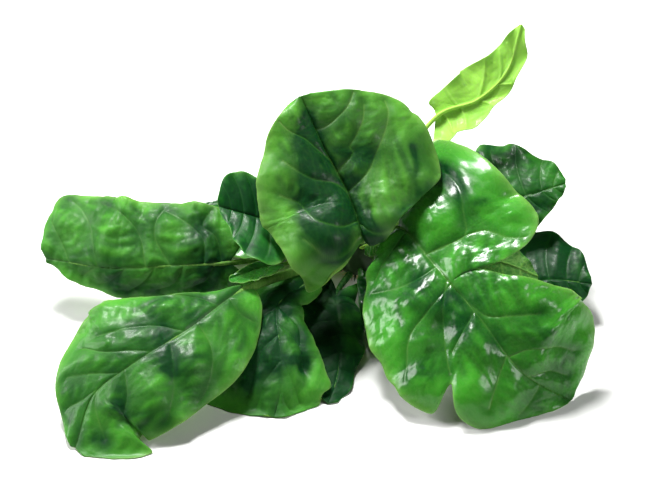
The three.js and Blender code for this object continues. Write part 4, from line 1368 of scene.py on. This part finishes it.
class SPINACH_OT_heart(bpy.types.Operator):
    """Build the small young leaves at the heart of the bunch"""

    bl_idname = "spinach.heart"
    bl_label = "Build heart"

    def execute(self, context):
        scene = context.scene
        material = waxy_leaf("Young spinach leaf", scene.spinach_colours)
        tree = stalk_tree()
        for name in LEAVES:
            if name.startswith("heart"):
                leaf_piece(name, tree, material, scene.spinach_sizes)
        return {"FINISHED"}


class SPINACH_OT_crown(bpy.types.Operator):
    """Build the stub of root that the stalks grow from, with the fine roots left on it"""

    bl_idname = "spinach.crown"
    bl_label = "Build crown"

    def execute(self, context):
        sizes = context.scene.spinach_sizes
        material = root_skin(context.scene.spinach_colours)
        inputs = {"Density": sizes.rootlets / MM**2, "Material": material}
        mesh = grown(stub_mesh(), crown_tree(), inputs)
        for vertex in mesh.vertices:
            vertex.co.z = max(vertex.co.z, 0)
        mesh.shade_smooth()
        piece = bpy.data.objects.new("crown_stub", mesh)
        context.collection.objects.link(piece)
        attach(piece, "root")
        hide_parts("crown")
        return {"FINISHED"}


# The photograph's view: straight from the front, looking down. Millimetres, like the lens.
VIEW_TARGET = np.array([-14.4, 1.55, 30.2]) + BENCH
VIEW_ELEVATION = math.radians(35)
VIEW_DISTANCE = 900.0
LENS = 110.77
SENSOR = 36

# The table's half width and the lights, each with its place and aim, power and width, in metres and watts.
TABLE_REACH = 3.0
LIGHTS = (
    ("Key", (-0.15, 0.3, 0.8), (0, 0, 0.04), 16, 0.22),
    ("Left", (-0.75, 0.05, 0.5), (0, 0, 0.04), 8, 0.35),
    ("Right", (0.55, -0.3, 0.4), (0.05, 0, 0.03), 2, 0.2),
)
WORLD_STRENGTH = 0.07


def area_light(name, place, aim, power, width):
    """A soft square light, aimed at a point."""
    data = bpy.data.lights.new(name, "AREA")
    data.energy, data.size = power, width
    light = bpy.data.objects.new(name, data)
    light.location = place
    light.rotation_euler = (Vector(aim) - Vector(place)).to_track_quat("-Z", "Y").to_euler()
    bpy.context.collection.objects.link(light)


class SPINACH_OT_stage(bpy.types.Operator):
    """Lay the pale table, set the lights and place the camera"""

    bl_idname = "spinach.stage"
    bl_label = "Set the stage"

    def execute(self, context):
        table = bpy.data.meshes.new("table")
        corners = [(TABLE_REACH * x, TABLE_REACH * y, 0) for x, y in ((-1, -1), (1, -1), (1, 1), (-1, 1))]
        table.from_pydata(corners, [], [(0, 1, 2, 3)])
        table.materials.append(matte_table(context.scene.spinach_colours))
        floor = bpy.data.objects.new("table", table)
        context.collection.objects.link(floor)
        world = bpy.data.worlds.new("Studio")
        context.scene.world = world
        world.use_nodes = True
        background = world.node_tree.nodes["Background"]
        background.inputs["Color"].default_value = (1, 1, 1, 1)
        background.inputs["Strength"].default_value = WORLD_STRENGTH
        for light in LIGHTS:
            area_light(*light)
        lens = bpy.data.cameras.new("View")
        lens.lens, lens.sensor_width = LENS, SENSOR
        camera = bpy.data.objects.new("View", lens)
        back = Vector((0, -math.cos(VIEW_ELEVATION), math.sin(VIEW_ELEVATION)))
        camera.location = (Vector(VIEW_TARGET) + back * VIEW_DISTANCE) * MM
        camera.rotation_euler = (-back).to_track_quat("-Z", "Y").to_euler()
        context.collection.objects.link(camera)
        context.scene.camera = camera
        context.scene.view_settings.view_transform = "Standard"
        return {"FINISHED"}


class SPINACH_PT_panel(bpy.types.Panel):
    """The bunch's sizes, its colours and the steps that build it"""

    bl_idname = "SPINACH_PT_panel"
    bl_label = "Spinach bunch"
    bl_space_type = "VIEW_3D"
    bl_region_type = "UI"
    bl_category = "Spinach"

    def draw(self, context):
        for group in (context.scene.spinach_sizes, context.scene.spinach_colours):
            for key in group.__annotations__:
                self.layout.prop(group, key)
        for operator in OPERATORS:
            self.layout.operator(operator.bl_idname)


OPERATORS = (SPINACH_OT_leaves, SPINACH_OT_heart, SPINACH_OT_crown, SPINACH_OT_stage)
CLASSES = (SpinachSizes, SpinachColours, *OPERATORS, SPINACH_PT_panel)


def register():
    for cls in CLASSES:
        bpy.utils.register_class(cls)
    bpy.types.Scene.spinach_sizes = PointerProperty(type=SpinachSizes)
    bpy.types.Scene.spinach_colours = PointerProperty(type=SpinachColours)


def unregister():
    del bpy.types.Scene.spinach_colours
    del bpy.types.Scene.spinach_sizes
    for cls in reversed(CLASSES):
        bpy.utils.unregister_class(cls)


def main():
    register()
    bpy.ops.spinach.leaves()
    bpy.ops.spinach.heart()
    bpy.ops.spinach.crown()
    bpy.ops.spinach.stage()


if __name__ == "__main__":
    main()
